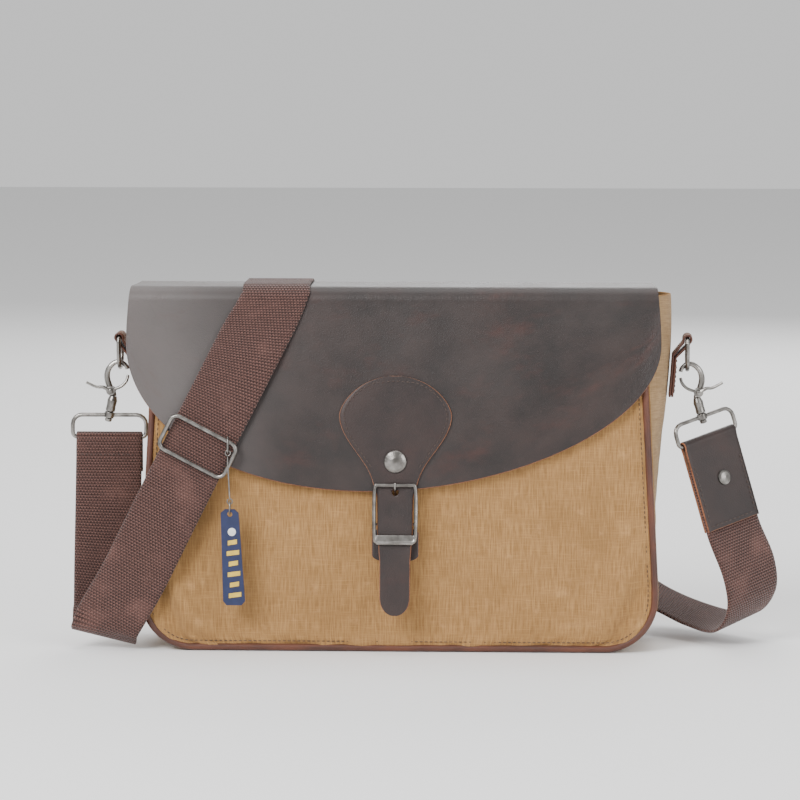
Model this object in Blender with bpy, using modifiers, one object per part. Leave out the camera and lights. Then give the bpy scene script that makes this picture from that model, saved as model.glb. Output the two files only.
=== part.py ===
"""Canvas messenger bag with a leather flap, a buckled snap closure and a webbing strap.

The bag stands on its base.  +X is to the right of someone facing the flap, -Y is the
front, +Z is up, and the origin is the middle of the base.  All sizes are in metres.
"""

import math

import bmesh
import bpy
from mathutils import Matrix, Vector

# ---------------------------------------------------------------- driving sizes

TOUCH_GAP = 0.0003  # air left between two pieces that touch

# body
BODY_HEIGHT = 0.262
SEAM_HALF_WIDTH = 0.188  # at the base
SEAM_TAPER = 0.054  # half width lost per metre above the corners
TAPER_START_Z = 0.050
CORNER_RADIUS = 0.037
CORNER_STEPS = 8
SIDE_STEPS = 10
HALF_DEPTH_BASE = 0.038
HALF_DEPTH_TOP = 0.0235
PANEL_BULGE = 0.008
CANVAS = 0.0012
PIPING_RADIUS = 0.0026
PIPING_Z = PIPING_RADIUS + TOUCH_GAP
LINING_INSET = 0.0042
LINING = 0.0008
LINING_SQUARENESS = 0.22  # 1 is an oval, 0 is a rectangle

# flap
LEATHER = 0.0022
FLAP_CENTRE_X = -0.004
FLAP_HALF_WIDTH = 0.196
FLAP_TOP_NARROWING = 0.032  # share of the width lost where it passes over the top
FLAP_WIDEST_Z = 0.226
FLAP_LOWEST_Z = 0.1195
FLAP_SKEW = 0.10  # the left half hangs this share lower
FLAP_STAND_OFF = 0.0045  # leather's middle in front of the canvas's middle
FOLD_RADIUS = 0.010
HINGE_Y = 0.0263
HINGE_Z = 0.2655
HINGE_GAP = 0.0006
BACK_STRIP_LENGTH = 0.034
BACK_STRIP_HALF_WIDTH = 0.170

# closure tab, strap and buckle
TAB_X = -0.0017
TAB_LEATHER = 0.0018
TAB_TOP_Z = 0.2037
TAB_WIDEST_Z = 0.175
TAB_HALF_WIDTH = 0.0412
TAB_NECK_HALF_WIDTH = 0.016
TAB_NECK_Z = 0.121
CLOSURE_Z = 0.1268  # line that the free part of the strap bends about
CLOSURE_TILT = math.radians(7.7)
STRAP_LENGTH = 0.098
RIVET_Z = 0.1415

# shoulder strap
WEBBING = 0.002
WEBBING_WIDTH = 0.049
STRAP_ANGLE = math.atan2(0.1335, 0.263)
FOLD_BOTTOM = Vector((-0.2175, -0.0330, 0.0085))
SLIDER_Z = 0.152

# hardware
RING_WIRE = 0.0016
RING_INNER_HALF = WEBBING_WIDTH / 2 + 0.0012
RING_DROP = 0.0165
DRING_WIRE = 0.00165
DRING_DROP = 0.0230
DRING_HALF_WIDTH = 0.0118
HOOK_LENGTH = 0.0405
TAB_LOOP_Z = 0.2285
LEFT_LOOP_X = -0.2075
RIGHT_LOOP_X = 0.2115
LEFT_TILT = math.radians(12)
RIGHT_TILT = math.radians(-16)
RIGHT_TURN = math.radians(36)

COLOURS = {
    "canvas": ((0.50, 0.29, 0.12), 0.95, 0.0),
    "lining": ((0.32, 0.26, 0.20), 0.9, 0.0),
    "flap_leather": ((0.052, 0.036, 0.033), 0.55, 0.0),
    "trim_leather": ((0.075, 0.040, 0.032), 0.55, 0.0),
    "piping_leather": ((0.20, 0.065, 0.028), 0.6, 0.0),
    "webbing": ((0.085, 0.045, 0.037), 0.95, 0.0),
    "antique_nickel": ((0.42, 0.40, 0.37), 0.35, 1.0),
    "tag_rubber": ((0.020, 0.030, 0.095), 0.6, 0.0),
}

# ---------------------------------------------------------------- scene and materials


def empty_scene():
    for old in list(bpy.data.objects):
        bpy.data.objects.remove(old, do_unlink=True)


def new_collection(name):
    collection = bpy.data.collections.new(name)
    bpy.context.scene.collection.children.link(collection)
    return collection


def make_materials():
    made = {}
    for name, (colour, roughness, metallic) in COLOURS.items():
        material = bpy.data.materials.new(name)
        material.use_nodes = True
        shader = material.node_tree.nodes["Principled BSDF"]
        shader.inputs["Base Color"].default_value = (*colour, 1.0)
        shader.inputs["Roughness"].default_value = roughness
        shader.inputs["Metallic"].default_value = metallic
        made[name] = material
    return made


empty_scene()
BAG = new_collection("messenger_bag")
CUTTERS = new_collection("cutters")
MATERIALS = make_materials()


def add_object(name, data, material, collection=BAG):
    obj = bpy.data.objects.new(name, data)
    collection.objects.link(obj)
    if material is not None:
        data.materials.append(MATERIALS[material])
    return obj


def add_empty(name, matrix, parent=None):
    empty = bpy.data.objects.new(name, None)
    BAG.objects.link(empty)
    empty.parent = parent
    empty.matrix_local = matrix
    return empty


def smooth(obj, angle=40):
    obj.data.shade_smooth()
    obj.data.set_sharp_from_angle(angle=math.radians(angle))


# ---------------------------------------------------------------- shapes


def smoothstep(t):
    t = min(max(t, 0.0), 1.0)
    return t * t * (3 - 2 * t)


def lerp(a, b, t):
    return a + (b - a) * t


def sheet(name, columns, rows, place, thickness, material, parent=None):
    """A soft sheet: a grid laid on a surface by place(u, v), with a thickness."""
    bm = bmesh.new()
    bmesh.ops.create_grid(bm, x_segments=columns, y_segments=rows, size=1.0)
    for vertex in bm.verts:
        vertex.co = place(vertex.co.x, (vertex.co.y + 1) / 2)
    mesh = bpy.data.meshes.new(name)
    bm.to_mesh(mesh)
    bm.free()
    obj = add_object(name, mesh, material)
    obj.parent = parent
    solidify = obj.modifiers.new("thickness", "SOLIDIFY")
    solidify.thickness = thickness
    solidify.offset = 0.0
    smooth(obj)
    return obj


def spline_points(points, steps, closed=False):
    """Points along a smooth (Catmull-Rom) curve through the given points."""
    path = [Vector(p) for p in points]
    count = len(path)

    def at(i):
        return path[i % count] if closed else path[min(max(i, 0), count - 1)]

    out = []
    for i in range(count if closed else count - 1):
        a, b = at(i), at(i + 1)
        ta = (b - at(i - 1)) / 2
        tb = (at(i + 2) - a) / 2
        for k in range(steps):
            t = k / steps
            h1 = 2 * t**3 - 3 * t**2 + 1
            h2 = t**3 - 2 * t**2 + t
            h3 = -2 * t**3 + 3 * t**2
            h4 = t**3 - t**2
            out.append(a * h1 + ta * h2 + b * h3 + tb * h4)
    if not closed:
        out.append(path[-1])
    return out


def tube(name, points, radius, material, closed=False, radii=None, parent=None, sides=2,
         collection=BAG):
    """A round bar along a path, as a welded mesh; radii scale the radius along it."""
    data = bpy.data.curves.new(name, "CURVE")
    data.dimensions = "3D"
    data.bevel_depth = radius
    data.bevel_resolution = sides
    data.use_fill_caps = True
    spline = data.splines.new("POLY")
    spline.points.add(len(points) - 1)
    for i, (point, co) in enumerate(zip(spline.points, points)):
        point.co = (*co, 1.0)
        point.radius = 1.0 if radii is None else radii[i]
    spline.use_cyclic_u = closed
    curve = add_object(name + "_path", data, None, collection)
    graph = bpy.context.evaluated_depsgraph_get()
    mesh = bpy.data.meshes.new_from_object(curve.evaluated_get(graph))
    bpy.data.objects.remove(curve, do_unlink=True)
    bm = bmesh.new()
    bm.from_mesh(mesh)
    bmesh.ops.remove_doubles(bm, verts=bm.verts, dist=0.00001)
    bmesh.ops.recalc_face_normals(bm, faces=bm.faces)
    bm.to_mesh(mesh)
    bm.free()
    mesh.materials.clear()
    obj = add_object(name, mesh, material, collection)
    obj.parent = parent
    smooth(obj)
    return obj


def turned(name, profile, material, parent=None, steps=24, collection=BAG):
    """A turned shape about its own Z; the profile runs from top to bottom."""
    mesh = bpy.data.meshes.new(name)
    points = [(r, 0.0, z) for r, z in profile]
    mesh.from_pydata(points, [(i, i + 1) for i in range(len(points) - 1)], [])
    obj = add_object(name, mesh, material, collection)
    obj.parent = parent
    screw = obj.modifiers.new("turn", "SCREW")
    screw.steps = steps
    screw.render_steps = steps
    screw.use_merge_vertices = True
    screw.merge_threshold = 0.00005
    return obj


def cylinder(name, radius, depth, material, parent=None, sides=24, collection=BAG):
    bm = bmesh.new()
    bmesh.ops.create_cone(bm, cap_ends=True, segments=sides, radius1=radius, radius2=radius,
                          depth=depth)
    mesh = bpy.data.meshes.new(name)
    bm.to_mesh(mesh)
    bm.free()
    obj = add_object(name, mesh, material, collection)
    obj.parent = parent
    smooth(obj)
    return obj


def box(name, size, material, parent=None, collection=BAG):
    bm = bmesh.new()
    bmesh.ops.create_cube(bm, size=1.0, matrix=Matrix.Diagonal((*size, 1.0)))
    mesh = bpy.data.meshes.new(name)
    bm.to_mesh(mesh)
    bm.free()
    obj = add_object(name, mesh, material, collection)
    obj.parent = parent
    return obj


def plate(name, outline, thickness, material, parent=None, holes=()):
    """A flat plate cut to an outline in its own XZ plane, with round holes (x, z, r)."""
    data = bpy.data.curves.new(name, "CURVE")
    data.dimensions = "2D"
    data.fill_mode = "BOTH"
    data.extrude = thickness / 2
    rings = [list(outline)]
    for x, z, r in holes:
        turns = [2 * math.pi * k / 16 for k in range(16)]
        rings.append([(x + r * math.cos(a), z + r * math.sin(a)) for a in turns])
    for ring in rings:
        spline = data.splines.new("POLY")
        spline.points.add(len(ring) - 1)
        for point, (x, z) in zip(spline.points, ring):
            point.co = (x, z, 0.0, 1.0)
        spline.use_cyclic_u = True
    curve = add_object(name + "_outline", data, None)
    graph = bpy.context.evaluated_depsgraph_get()
    mesh = bpy.data.meshes.new_from_object(curve.evaluated_get(graph))
    bpy.data.objects.remove(curve, do_unlink=True)
    bm = bmesh.new()
    bm.from_mesh(mesh)
    bmesh.ops.remove_doubles(bm, verts=bm.verts, dist=0.00001)
    bmesh.ops.rotate(bm, verts=bm.verts, matrix=Matrix.Rotation(math.pi / 2, 3, "X"))
    bmesh.ops.recalc_face_normals(bm, faces=bm.faces)
    bm.to_mesh(mesh)
    bm.free()
    mesh.materials.clear()
    obj = add_object(name, mesh, material)
    obj.parent = parent
    return obj


def combine(obj, other, operation):
    """Join or cut a piece with a helper solid, which is kept out of the model."""
    for old in list(other.users_collection):
        old.objects.unlink(other)
    CUTTERS.objects.link(other)
    other.hide_render = True
    other.display_type = "WIRE"
    boolean = obj.modifiers.new(operation.lower(), "BOOLEAN")
    boolean.operation = operation
    boolean.object = other


# ---------------------------------------------------------------- body surfaces


def seam_half_width(z):
    return SEAM_HALF_WIDTH - SEAM_TAPER * max(0.0, z - TAPER_START_Z)


def half_depth(z):
    return lerp(HALF_DEPTH_BASE, HALF_DEPTH_TOP, z / BODY_HEIGHT)


def outline_half_width(z, outset):
    """Half width of the seam's outline at a height, moved outward by outset."""
    low = PIPING_Z - outset
    radius = CORNER_RADIUS + outset
    width = seam_half_width(z) + outset
    up = z - low
    if up < radius:
        width -= radius - math.sqrt(max(radius**2 - (radius - up) ** 2, 0.0))
    return width


def bulge(x, z):
    """How far the packed front and back stand out between their seams."""
    across = max(0.0, 1 - (x / seam_half_width(z)) ** 2)
    up = max(0.0, math.sin(math.pi * min(max(z / BODY_HEIGHT, 0.0), 1.0)))
    return PANEL_BULGE * across * up


def outline_stations(outset, top):
    """Points (x, z) and outward directions along the U-shaped seam, left top to right."""
    low = PIPING_Z - outset
    radius = CORNER_RADIUS + outset
    flat = SEAM_HALF_WIDTH - CORNER_RADIUS
    right = [(Vector((flat * k / 5, low)), Vector((0.0, -1.0))) for k in range(5)]
    for k in range(CORNER_STEPS + 1):
        turn = math.pi / 2 * k / CORNER_STEPS
        out = Vector((math.sin(turn), -math.cos(turn)))
        right.append((Vector((flat, low + radius)) + out * radius, out))
    for k in range(1, SIDE_STEPS + 1):
        z = lerp(low + radius, top, k / SIDE_STEPS)
        right.append((Vector((seam_half_width(z) + outset, z)), Vector((1.0, 0.0))))
    mirror = Matrix(((-1, 0), (0, 1)))
    left = [(mirror @ point, mirror @ out) for point, out in reversed(right[1:])]
    return left + right


def gusset_bulge(x, z):
    """How far the side wall stands out; the left one is pressed in below the hook."""
    if x > 0:
        return 0.020 * smoothstep((z - 0.07) / 0.19)
    return 0.0165 * smoothstep((z - 0.168) / 0.058)


PANEL_INSET = PIPING_RADIUS + TOUCH_GAP
SHELL_OUTSET = PIPING_Z - CANVAS / 2  # puts the gusset's underside on the floor


def panel(name, side, top_drop):
    """Front (side -1) or back (side 1) canvas panel between the piped seams."""
    low = PIPING_Z + PANEL_INSET

    def place(u, v):
        z = lerp(low, BODY_HEIGHT - top_drop, v**1.35)
        x = u * outline_half_width(z, -PANEL_INSET)
        return Vector((x, side * (half_depth(z) + bulge(x, z)), z))

    return sheet(name, 12, 10, place, CANVAS, "canvas")


def build_body():
    panel("front_panel", -1, 0.0)
    panel("back_panel", 1, 0.0)

    stations = outline_stations(SHELL_OUTSET, BODY_HEIGHT)

    def gusset_place(u, v):
        point, out = stations[round((u + 1) / 2 * (len(stations) - 1))]
        across = 2 * v - 1
        swell = gusset_bulge(point.x, point.y) * (1 - across**2) ** 0.8
        point = point + out * swell
        depth = (half_depth(point.y) - PANEL_INSET) * across
        return Vector((point.x, depth, point.y))

    sheet("gusset", len(stations) - 1, 6, gusset_place, CANVAS, "canvas")

    for name, side in (("front_piping", -1), ("back_piping", 1)):
        path = [point for point, _ in outline_stations(0.0, BODY_HEIGHT - 0.0015)]
        points = [(point.x, side * half_depth(point.y), point.y) for point in path]
        tube(name, points, PIPING_RADIUS, "piping_leather")


def bucket_point(u, z, inset):
    """Point on a rounded rectangle at a height, one turn for u from 0 to 1."""
    half_x = outline_half_width(z, -inset)
    half_y = half_depth(z) - inset
    turn = 2 * math.pi * u
    cos, sin = math.cos(turn), math.sin(turn)
    x = math.copysign(abs(cos) ** LINING_SQUARENESS, cos) * half_x
    y = math.copysign(abs(sin) ** LINING_SQUARENESS, sin) * half_y
    return Vector((x, y, z))


def build_lining():
    """The cotton lining hangs inside the canvas as an open bag, with a slip pocket."""
    rows, columns = 7, 32
    low = PIPING_Z + LINING_INSET
    bm = bmesh.new()
    bmesh.ops.create_cone(bm, cap_ends=False, segments=columns, radius1=1, radius2=1, depth=1)
    edges = [e for e in bm.edges if abs(e.verts[0].co.z - e.verts[1].co.z) > 0.5]
    bmesh.ops.subdivide_edges(bm, edges=edges, cuts=rows - 2, use_grid_fill=True)
    for vertex in bm.verts:
        up = (vertex.co.z + 0.5) ** 1.35
        u = math.atan2(vertex.co.y, vertex.co.x) / (2 * math.pi)
        vertex.co = bucket_point(u, lerp(low, BODY_HEIGHT - 0.004, up), LINING_INSET)
    rim = [e for e in bm.edges if e.is_boundary and e.verts[0].co.z < low + 0.0001]
    bmesh.ops.contextual_create(bm, geom=rim)
    bmesh.ops.recalc_face_normals(bm, faces=bm.faces)
    mesh = bpy.data.meshes.new("lining")
    bm.to_mesh(mesh)
    bm.free()
    obj = add_object("lining", mesh, "lining")
    solidify = obj.modifiers.new("thickness", "SOLIDIFY")
    solidify.thickness = LINING
    solidify.offset = 0.0
    smooth(obj)

    def pocket_place(u, v):
        z = lerp(0.085, 0.205, v)
        stand = 0.0009 + 0.0045 * (1 - u * u) ** 0.5 * smoothstep(v * 3)
        return Vector((0.085 * u, half_depth(z) - LINING_INSET - 0.0012 - stand, z))

    sheet("inner_pocket", 10, 6, pocket_place, LINING, "lining")


build_body()
build_lining()

# ---------------------------------------------------------------- flap surface

FLAP_MID_Z = HINGE_Z + LEATHER / 2
ARC_Z = FLAP_MID_Z - FOLD_RADIUS
TOP_RUN = 0.044  # distance given to the top, from the hinge to the front fold
ARC_RUN = FOLD_RADIUS * math.pi / 2


def flap_front_y(x, z):
    return -(half_depth(z) + FLAP_STAND_OFF + bulge(x, z))


def flap_surface(x, run, lift):
    """Point at a distance run from the hinge along the flap, lifted off its middle."""
    fold_y = flap_front_y(x, ARC_Z) + FOLD_RADIUS
    if run <= TOP_RUN:
        return Vector((x, lerp(HINGE_Y, fold_y, run / TOP_RUN), FLAP_MID_Z + lift))
    if run <= TOP_RUN + ARC_RUN:
        turn = (run - TOP_RUN) / FOLD_RADIUS
        reach = FOLD_RADIUS + lift
        return Vector((x, fold_y - reach * math.sin(turn), ARC_Z + reach * math.cos(turn)))
    z = ARC_Z - (run - TOP_RUN - ARC_RUN)
    return Vector((x, flap_front_y(x, z) - lift, z))


def run_to_height(z):
    return TOP_RUN + ARC_RUN + ARC_Z - z


TOP_SHARE = 0.15  # share of a sheet's rows that lie on the top
FOLD_SHARE = 0.40  # share that has passed the front fold


def flap_run(v, start, end):
    """Distance from the hinge for row v, with the rows crowded at the front fold."""
    if v <= TOP_SHARE:
        return lerp(start, TOP_RUN, v / TOP_SHARE)
    if v <= FOLD_SHARE:
        return TOP_RUN + ARC_RUN * (v - TOP_SHARE) / (FOLD_SHARE - TOP_SHARE)
    return lerp(TOP_RUN + ARC_RUN, end, (v - FOLD_SHARE) / (1 - FOLD_SHARE))


def flap_edge_z(s):
    """Height of the flap's curved lower edge at s across it, -1 to 1."""
    drop = FLAP_WIDEST_Z - FLAP_LOWEST_Z
    return FLAP_WIDEST_Z - drop * math.sqrt(max(0.0, 1 - s * s)) * (1 - FLAP_SKEW * s)


def flap_width_share(run):
    return 1 - FLAP_TOP_NARROWING * (1 - smoothstep(run / run_to_height(FLAP_WIDEST_Z)))


def build_flap(flap_joint):
    def flap_place(u, v):
        s = math.sin(math.pi / 2 * u)
        run = flap_run(v, HINGE_GAP, run_to_height(flap_edge_z(s)))
        x = FLAP_CENTRE_X + s * FLAP_HALF_WIDTH * flap_width_share(run)
        return flap_joint @ flap_surface(x, run, 0.0)

    sheet("flap", 16, 20, flap_place, LEATHER, "flap_leather", FLAP)

    def strip_place(u, v):
        z = lerp(HINGE_Z - HINGE_GAP, HINGE_Z - BACK_STRIP_LENGTH, v)
        y = max(HINGE_Y + LEATHER / 2, half_depth(z) + bulge(u * 0.17, z) + 0.0021)
        return Vector((u * BACK_STRIP_HALF_WIDTH, y, z))

    sheet("flap_back_strip", 8, 4, strip_place, LEATHER, "flap_leather")


def tab_half_width(z):
    """Half width of the keyhole-shaped leather tab at a height."""
    if z > TAB_WIDEST_Z:
        up = (z - TAB_WIDEST_Z) / (TAB_TOP_Z - TAB_WIDEST_Z)
        return TAB_HALF_WIDTH * math.sqrt(max(0.006, 1 - up**1.6))
    down = min((TAB_WIDEST_Z - z) / (TAB_WIDEST_Z - TAB_NECK_Z), 1.0)
    flare = (TAB_HALF_WIDTH - TAB_NECK_HALF_WIDTH) / 2
    return TAB_NECK_HALF_WIDTH + flare * (1 + math.cos(math.pi * down))


TAB_LIFT = LEATHER / 2 + TOUCH_GAP + TAB_LEATHER / 2


def build_tab(flap_joint):
    def place(u, v):
        z = lerp(CLOSURE_Z + 0.0004, TAB_TOP_Z, 1 - (1 - v) ** 1.5)
        x = TAB_X + u * tab_half_width(z)
        return flap_joint @ flap_surface(x, run_to_height(z), TAB_LIFT)

    sheet("closure_tab", 6, 10, place, TAB_LEATHER, "trim_leather", FLAP)

    face = flap_surface(TAB_X, run_to_height(RIVET_Z), TAB_LIFT + TAB_LEATHER / 2)
    front = Matrix.Translation(face) @ Matrix.Rotation(math.pi / 2, 4, "X")
    dome = [(0.0, 0.0040), (0.0030, 0.0037), (0.0058, 0.0028), (0.0078, 0.0016),
            (0.0083, 0.0010), (0.0080, 0.0008), (0.0, 0.0008)]
    cap = turned("tab_rivet_cap", dome, "antique_nickel", FLAP)
    cap.matrix_local = flap_joint @ front
    face = flap_surface(TAB_X, run_to_height(RIVET_Z), -LEATHER / 2)
    back = Matrix.Translation(face) @ Matrix.Rotation(-math.pi / 2, 4, "X")
    washer = [(0.0, 0.0016), (0.0040, 0.0015), (0.0050, 0.0010), (0.0050, 0.0006), (0.0, 0.0006)]
    plate_back = turned("tab_rivet_back", washer, "antique_nickel", FLAP, steps=16)
    plate_back.matrix_local = flap_joint @ back


# ---------------------------------------------------------------- closure

STRAP_STATIONS = ((0.0, 0.0166), (0.006, 0.0147), (0.011, 0.0134), (0.035, 0.0130),
                  (0.047, 0.0120), (0.060, 0.0112), (0.078, 0.0112), (0.100, 0.0112))
TIP_LENGTH = 0.014
FRAME_WIRE = 0.00145
FRAME_Y = -(TOUCH_GAP + FRAME_WIRE)
BAR_Y = TAB_LEATHER + 0.0036
BAR_Z = -0.031
BAR_RADIUS = 0.0011
CHAPE_LEATHER = 0.0012
CHAPE_WRAP = 0.0020
CHAPE_END_Z = -0.059
SNAP_Z = -0.052
PRONG_WIRE = 0.00085
PRONG_HOLE_Z = -0.0076


def strap_half_width(down):
    for (a, width_a), (b, width_b) in zip(STRAP_STATIONS, STRAP_STATIONS[1:]):
        if down <= b:
            width = lerp(width_a, width_b, smoothstep((down - a) / (b - a)))
            break
    left = max(0.0, (down - (STRAP_LENGTH - TIP_LENGTH)) / TIP_LENGTH)
    return width * math.sqrt(max(0.02, 1 - left**2.2))


def build_closure_strap():
    def place(u, v):
        down = 0.0004 + (STRAP_LENGTH - 0.0004) * (1 - (1 - v) ** 1.25)
        return Vector((u * strap_half_width(down), TAB_LEATHER / 2, -down))

    strap = sheet("closure_strap", 4, 24, place, TAB_LEATHER, "trim_leather", CLOSURE)
    hole = cylinder("strap_hole_cutter", 0.0026, 0.010, None, CLOSURE, sides=12)
    hole.matrix_local = Matrix.Translation((0, 0.0009, PRONG_HOLE_Z)) @ Matrix.Rotation(
        math.pi / 2, 4, "X")
    combine(strap, hole, "DIFFERENCE")


def build_buckle():
    corner = [(-0.0144, -0.0030), (-0.0152, -0.0100), (-0.0154, -0.0240), (-0.0150, -0.0400),
              (-0.0138, -0.0438)]
    outline = [(0.0, -0.0027), (-0.0120, -0.0026)] + corner + [(-0.0100, -0.0446), (0.0, -0.0448)]
    outline += [(-x, z) for x, z in reversed(outline[1:-1])]
    path = [(x, FRAME_Y - 0.0006 * math.cos(x * 90), z) for x, z in outline]
    frame = tube("buckle_frame", spline_points(path, 3, closed=True), FRAME_WIRE,
                 "antique_nickel", closed=True, parent=CLOSURE)
    keeper = box("keeper_cutter", (0.0270, 0.0017, 0.0072), None, CLOSURE)
    keeper.location = (0.0, FRAME_Y - 0.0004, -0.0425)
    bevel = keeper.modifiers.new("edges", "BEVEL")
    bevel.width = 0.0005
    bevel.segments = 2
    combine(frame, keeper, "UNION")
    side = 0.01535
    bar = [(-side, FRAME_Y + 0.0002, BAR_Z), (-side, BAR_Y - 0.0015, BAR_Z),
           (-side + 0.0012, BAR_Y, BAR_Z), (side - 0.0012, BAR_Y, BAR_Z),
           (side, BAR_Y - 0.0015, BAR_Z), (side, FRAME_Y + 0.0002, BAR_Z)]
    back_bar = tube("back_bar_cutter", bar, BAR_RADIUS, None, parent=CLOSURE)
    combine(frame, back_bar, "UNION")

    loop = 0.0023
    turns = [math.radians(a) for a in range(-200, 21, 20)]
    prong = [(0.0, BAR_Y - loop * math.cos(a), BAR_Z + loop * math.sin(a)) for a in turns]
    prong += spline_points([(0.0, BAR_Y - 0.0012, BAR_Z + 0.004), (0.0, 0.0034, -0.0180),
                            (0.0, 0.0032, -0.0110), (0.0, 0.0008, -0.0078),
                            (0.0, -0.0027, -0.0062), (0.0, -0.0046, -0.0038),
                            (0.0, -0.0047, -0.0010)], 4)
    tube("buckle_prong", prong, PRONG_WIRE, "antique_nickel", parent=CLOSURE)


def build_chape():
    """The leather that holds the buckle's bar, folded over it and hanging behind."""
    path = [(BAR_Y - CHAPE_WRAP, z) for z in (-0.0455, -0.041, -0.036)]
    for angle in range(0, 181, 30):
        a = math.radians(angle)
        path.append((BAR_Y - CHAPE_WRAP * math.cos(a), BAR_Z + CHAPE_WRAP * math.sin(a)))
    folded = len(path)
    drop = CHAPE_END_Z - BAR_Z
    path += [(BAR_Y + CHAPE_WRAP, BAR_Z + drop * t)
             for t in (0.06, 0.14, 0.3, 0.5, 0.7, 0.82, 0.92, 0.98, 1.0)]
    widths = [0.0118] * folded + [0.0130, 0.0170, 0.0172, 0.0172, 0.0172, 0.0170, 0.0160,
                                  0.0140, 0.0115]

    def place(u, v):
        k = round(v * (len(path) - 1))
        y, z = path[k]
        return Vector((u * widths[k], y, z))

    chape = sheet("buckle_chape", 6, len(path) - 1, place, CHAPE_LEATHER, "trim_leather", CLOSURE)
    slot = box("prong_slot_cutter", (0.0032, 0.0080, 0.0086), None, CLOSURE)
    slot.location = (0.0, BAR_Y - 0.0004, BAR_Z + 0.0003)
    combine(chape, slot, "DIFFERENCE")


def build_snap():
    """Magnetic snap: stud behind the chape, socket and washer through the front panel."""
    back = BAR_Y + CHAPE_WRAP + CHAPE_LEATHER / 2 + TOUCH_GAP
    stud = [(0.0, 0.0), (0.0055, 0.0), (0.0055, -0.0010), (0.0024, -0.0011),
            (0.0022, -0.0032), (0.0, -0.0034)]
    front = Matrix.Rotation(math.pi / 2, 4, "X")
    piece = turned("snap_stud", stud, "antique_nickel", CLOSURE)
    piece.matrix_local = Matrix.Translation((0, back, SNAP_Z)) @ front
    centre = CLOSURE_PLACE @ Vector((0, back + 0.0020, SNAP_Z))
    canvas_y = -(half_depth(centre.z) + bulge(TAB_X, centre.z))
    face = canvas_y - CANVAS / 2 - TOUCH_GAP
    socket = [(0.0, 0.0004), (0.0036, 0.0004), (0.0036, 0.0020), (0.0088, 0.0020),
              (0.0090, 0.0), (0.0, 0.0)]
    ring = turned("snap_socket", socket, "antique_nickel")
    ring.matrix_local = Matrix.Translation((TAB_X, face, centre.z)) @ front
    washer = [(0.0, 0.0), (0.0075, 0.0), (0.0075, -0.0010), (0.0, -0.0010)]
    inside = turned("snap_washer", washer, "antique_nickel", steps=16)
    inner_face = canvas_y + CANVAS / 2 + 0.0004
    inside.matrix_local = Matrix.Translation((TAB_X, inner_face, centre.z)) @ front


# ---------------------------------------------------------------- shoulder strap

STRAP_SLOPE = math.tan(STRAP_ANGLE)
UPPER_LIFT = LEATHER / 2 + 0.0004 + WEBBING / 2
WEBBING_HINGE_GAP = 0.0012
SLIDER_RISE = 0.0030  # the centre bar lifts the webbing off the flap
SQUARE_SHARE = 0.9  # share where its rows have turned square to its own length
RISE_START = 0.46  # share of the upper webbing where it starts to lift
RISE_FULL = 0.64
SLIDER_BAR_GAP = 0.0135  # from the centre bar to the frame's bars
SLIDER_TURN = math.radians(-4.5)  # follows the flap's curve


def strap_centre_x(z):
    """The front run of the strap leans to the left as it comes down."""
    return FOLD_BOTTOM.x + (z - 0.011) * STRAP_SLOPE


STRAIGHT_RUN = TOP_RUN + ARC_RUN * 0.6  # behind this the webbing runs straight back


def strap_x_at_run(run):
    top = run_to_height(SLIDER_Z)
    return strap_centre_x(SLIDER_Z) + (top - max(run, STRAIGHT_RUN)) * STRAP_SLOPE


def strap_slant(run):
    """0 where the webbing runs straight back over the top, 1 where it slants in front."""
    return smoothstep((run - TOP_RUN) / (ARC_RUN + 0.020))


def build_upper_strap(flap_joint):
    """Webbing from the hinge line over the flap to the slider's lower bar."""
    across = WEBBING_WIDTH / 2 / math.cos(STRAP_ANGLE)
    end = run_to_height(JUNCTION.z) - 0.0008

    def place(u, v):
        run = flap_run(v, WEBBING_HINGE_GAP, end)
        square = smoothstep((v - FOLD_SHARE) / (SQUARE_SHARE - FOLD_SHARE))
        shift = u * WEBBING_WIDTH / 2 * math.sin(STRAP_ANGLE) * square
        width = lerp(across, WEBBING_WIDTH / 2 * math.cos(STRAP_ANGLE), square)
        width = lerp(WEBBING_WIDTH / 2, width, strap_slant(run))
        x = strap_x_at_run(run) + u * width
        rise = SLIDER_RISE * smoothstep((v - RISE_START) / (RISE_FULL - RISE_START))
        return flap_joint @ flap_surface(x, run + shift, UPPER_LIFT + rise)

    sheet("strap_upper", 4, 20, place, WEBBING, "webbing", FLAP)


def ribbon(name, stations, steps, material, parent=None, columns=4, thickness=WEBBING,
           shift=Vector()):
    """Webbing through stations of (centre, half-width vector), smoothly joined."""
    centres = spline_points([c for c, _ in stations], steps)
    halves = spline_points([h for _, h in stations], steps)
    rows = len(centres) - 1

    def place(u, v):
        k = round(v * rows)
        return centres[k] + halves[k] * u + shift

    return sheet(name, columns, rows, place, thickness, material, parent)


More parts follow.
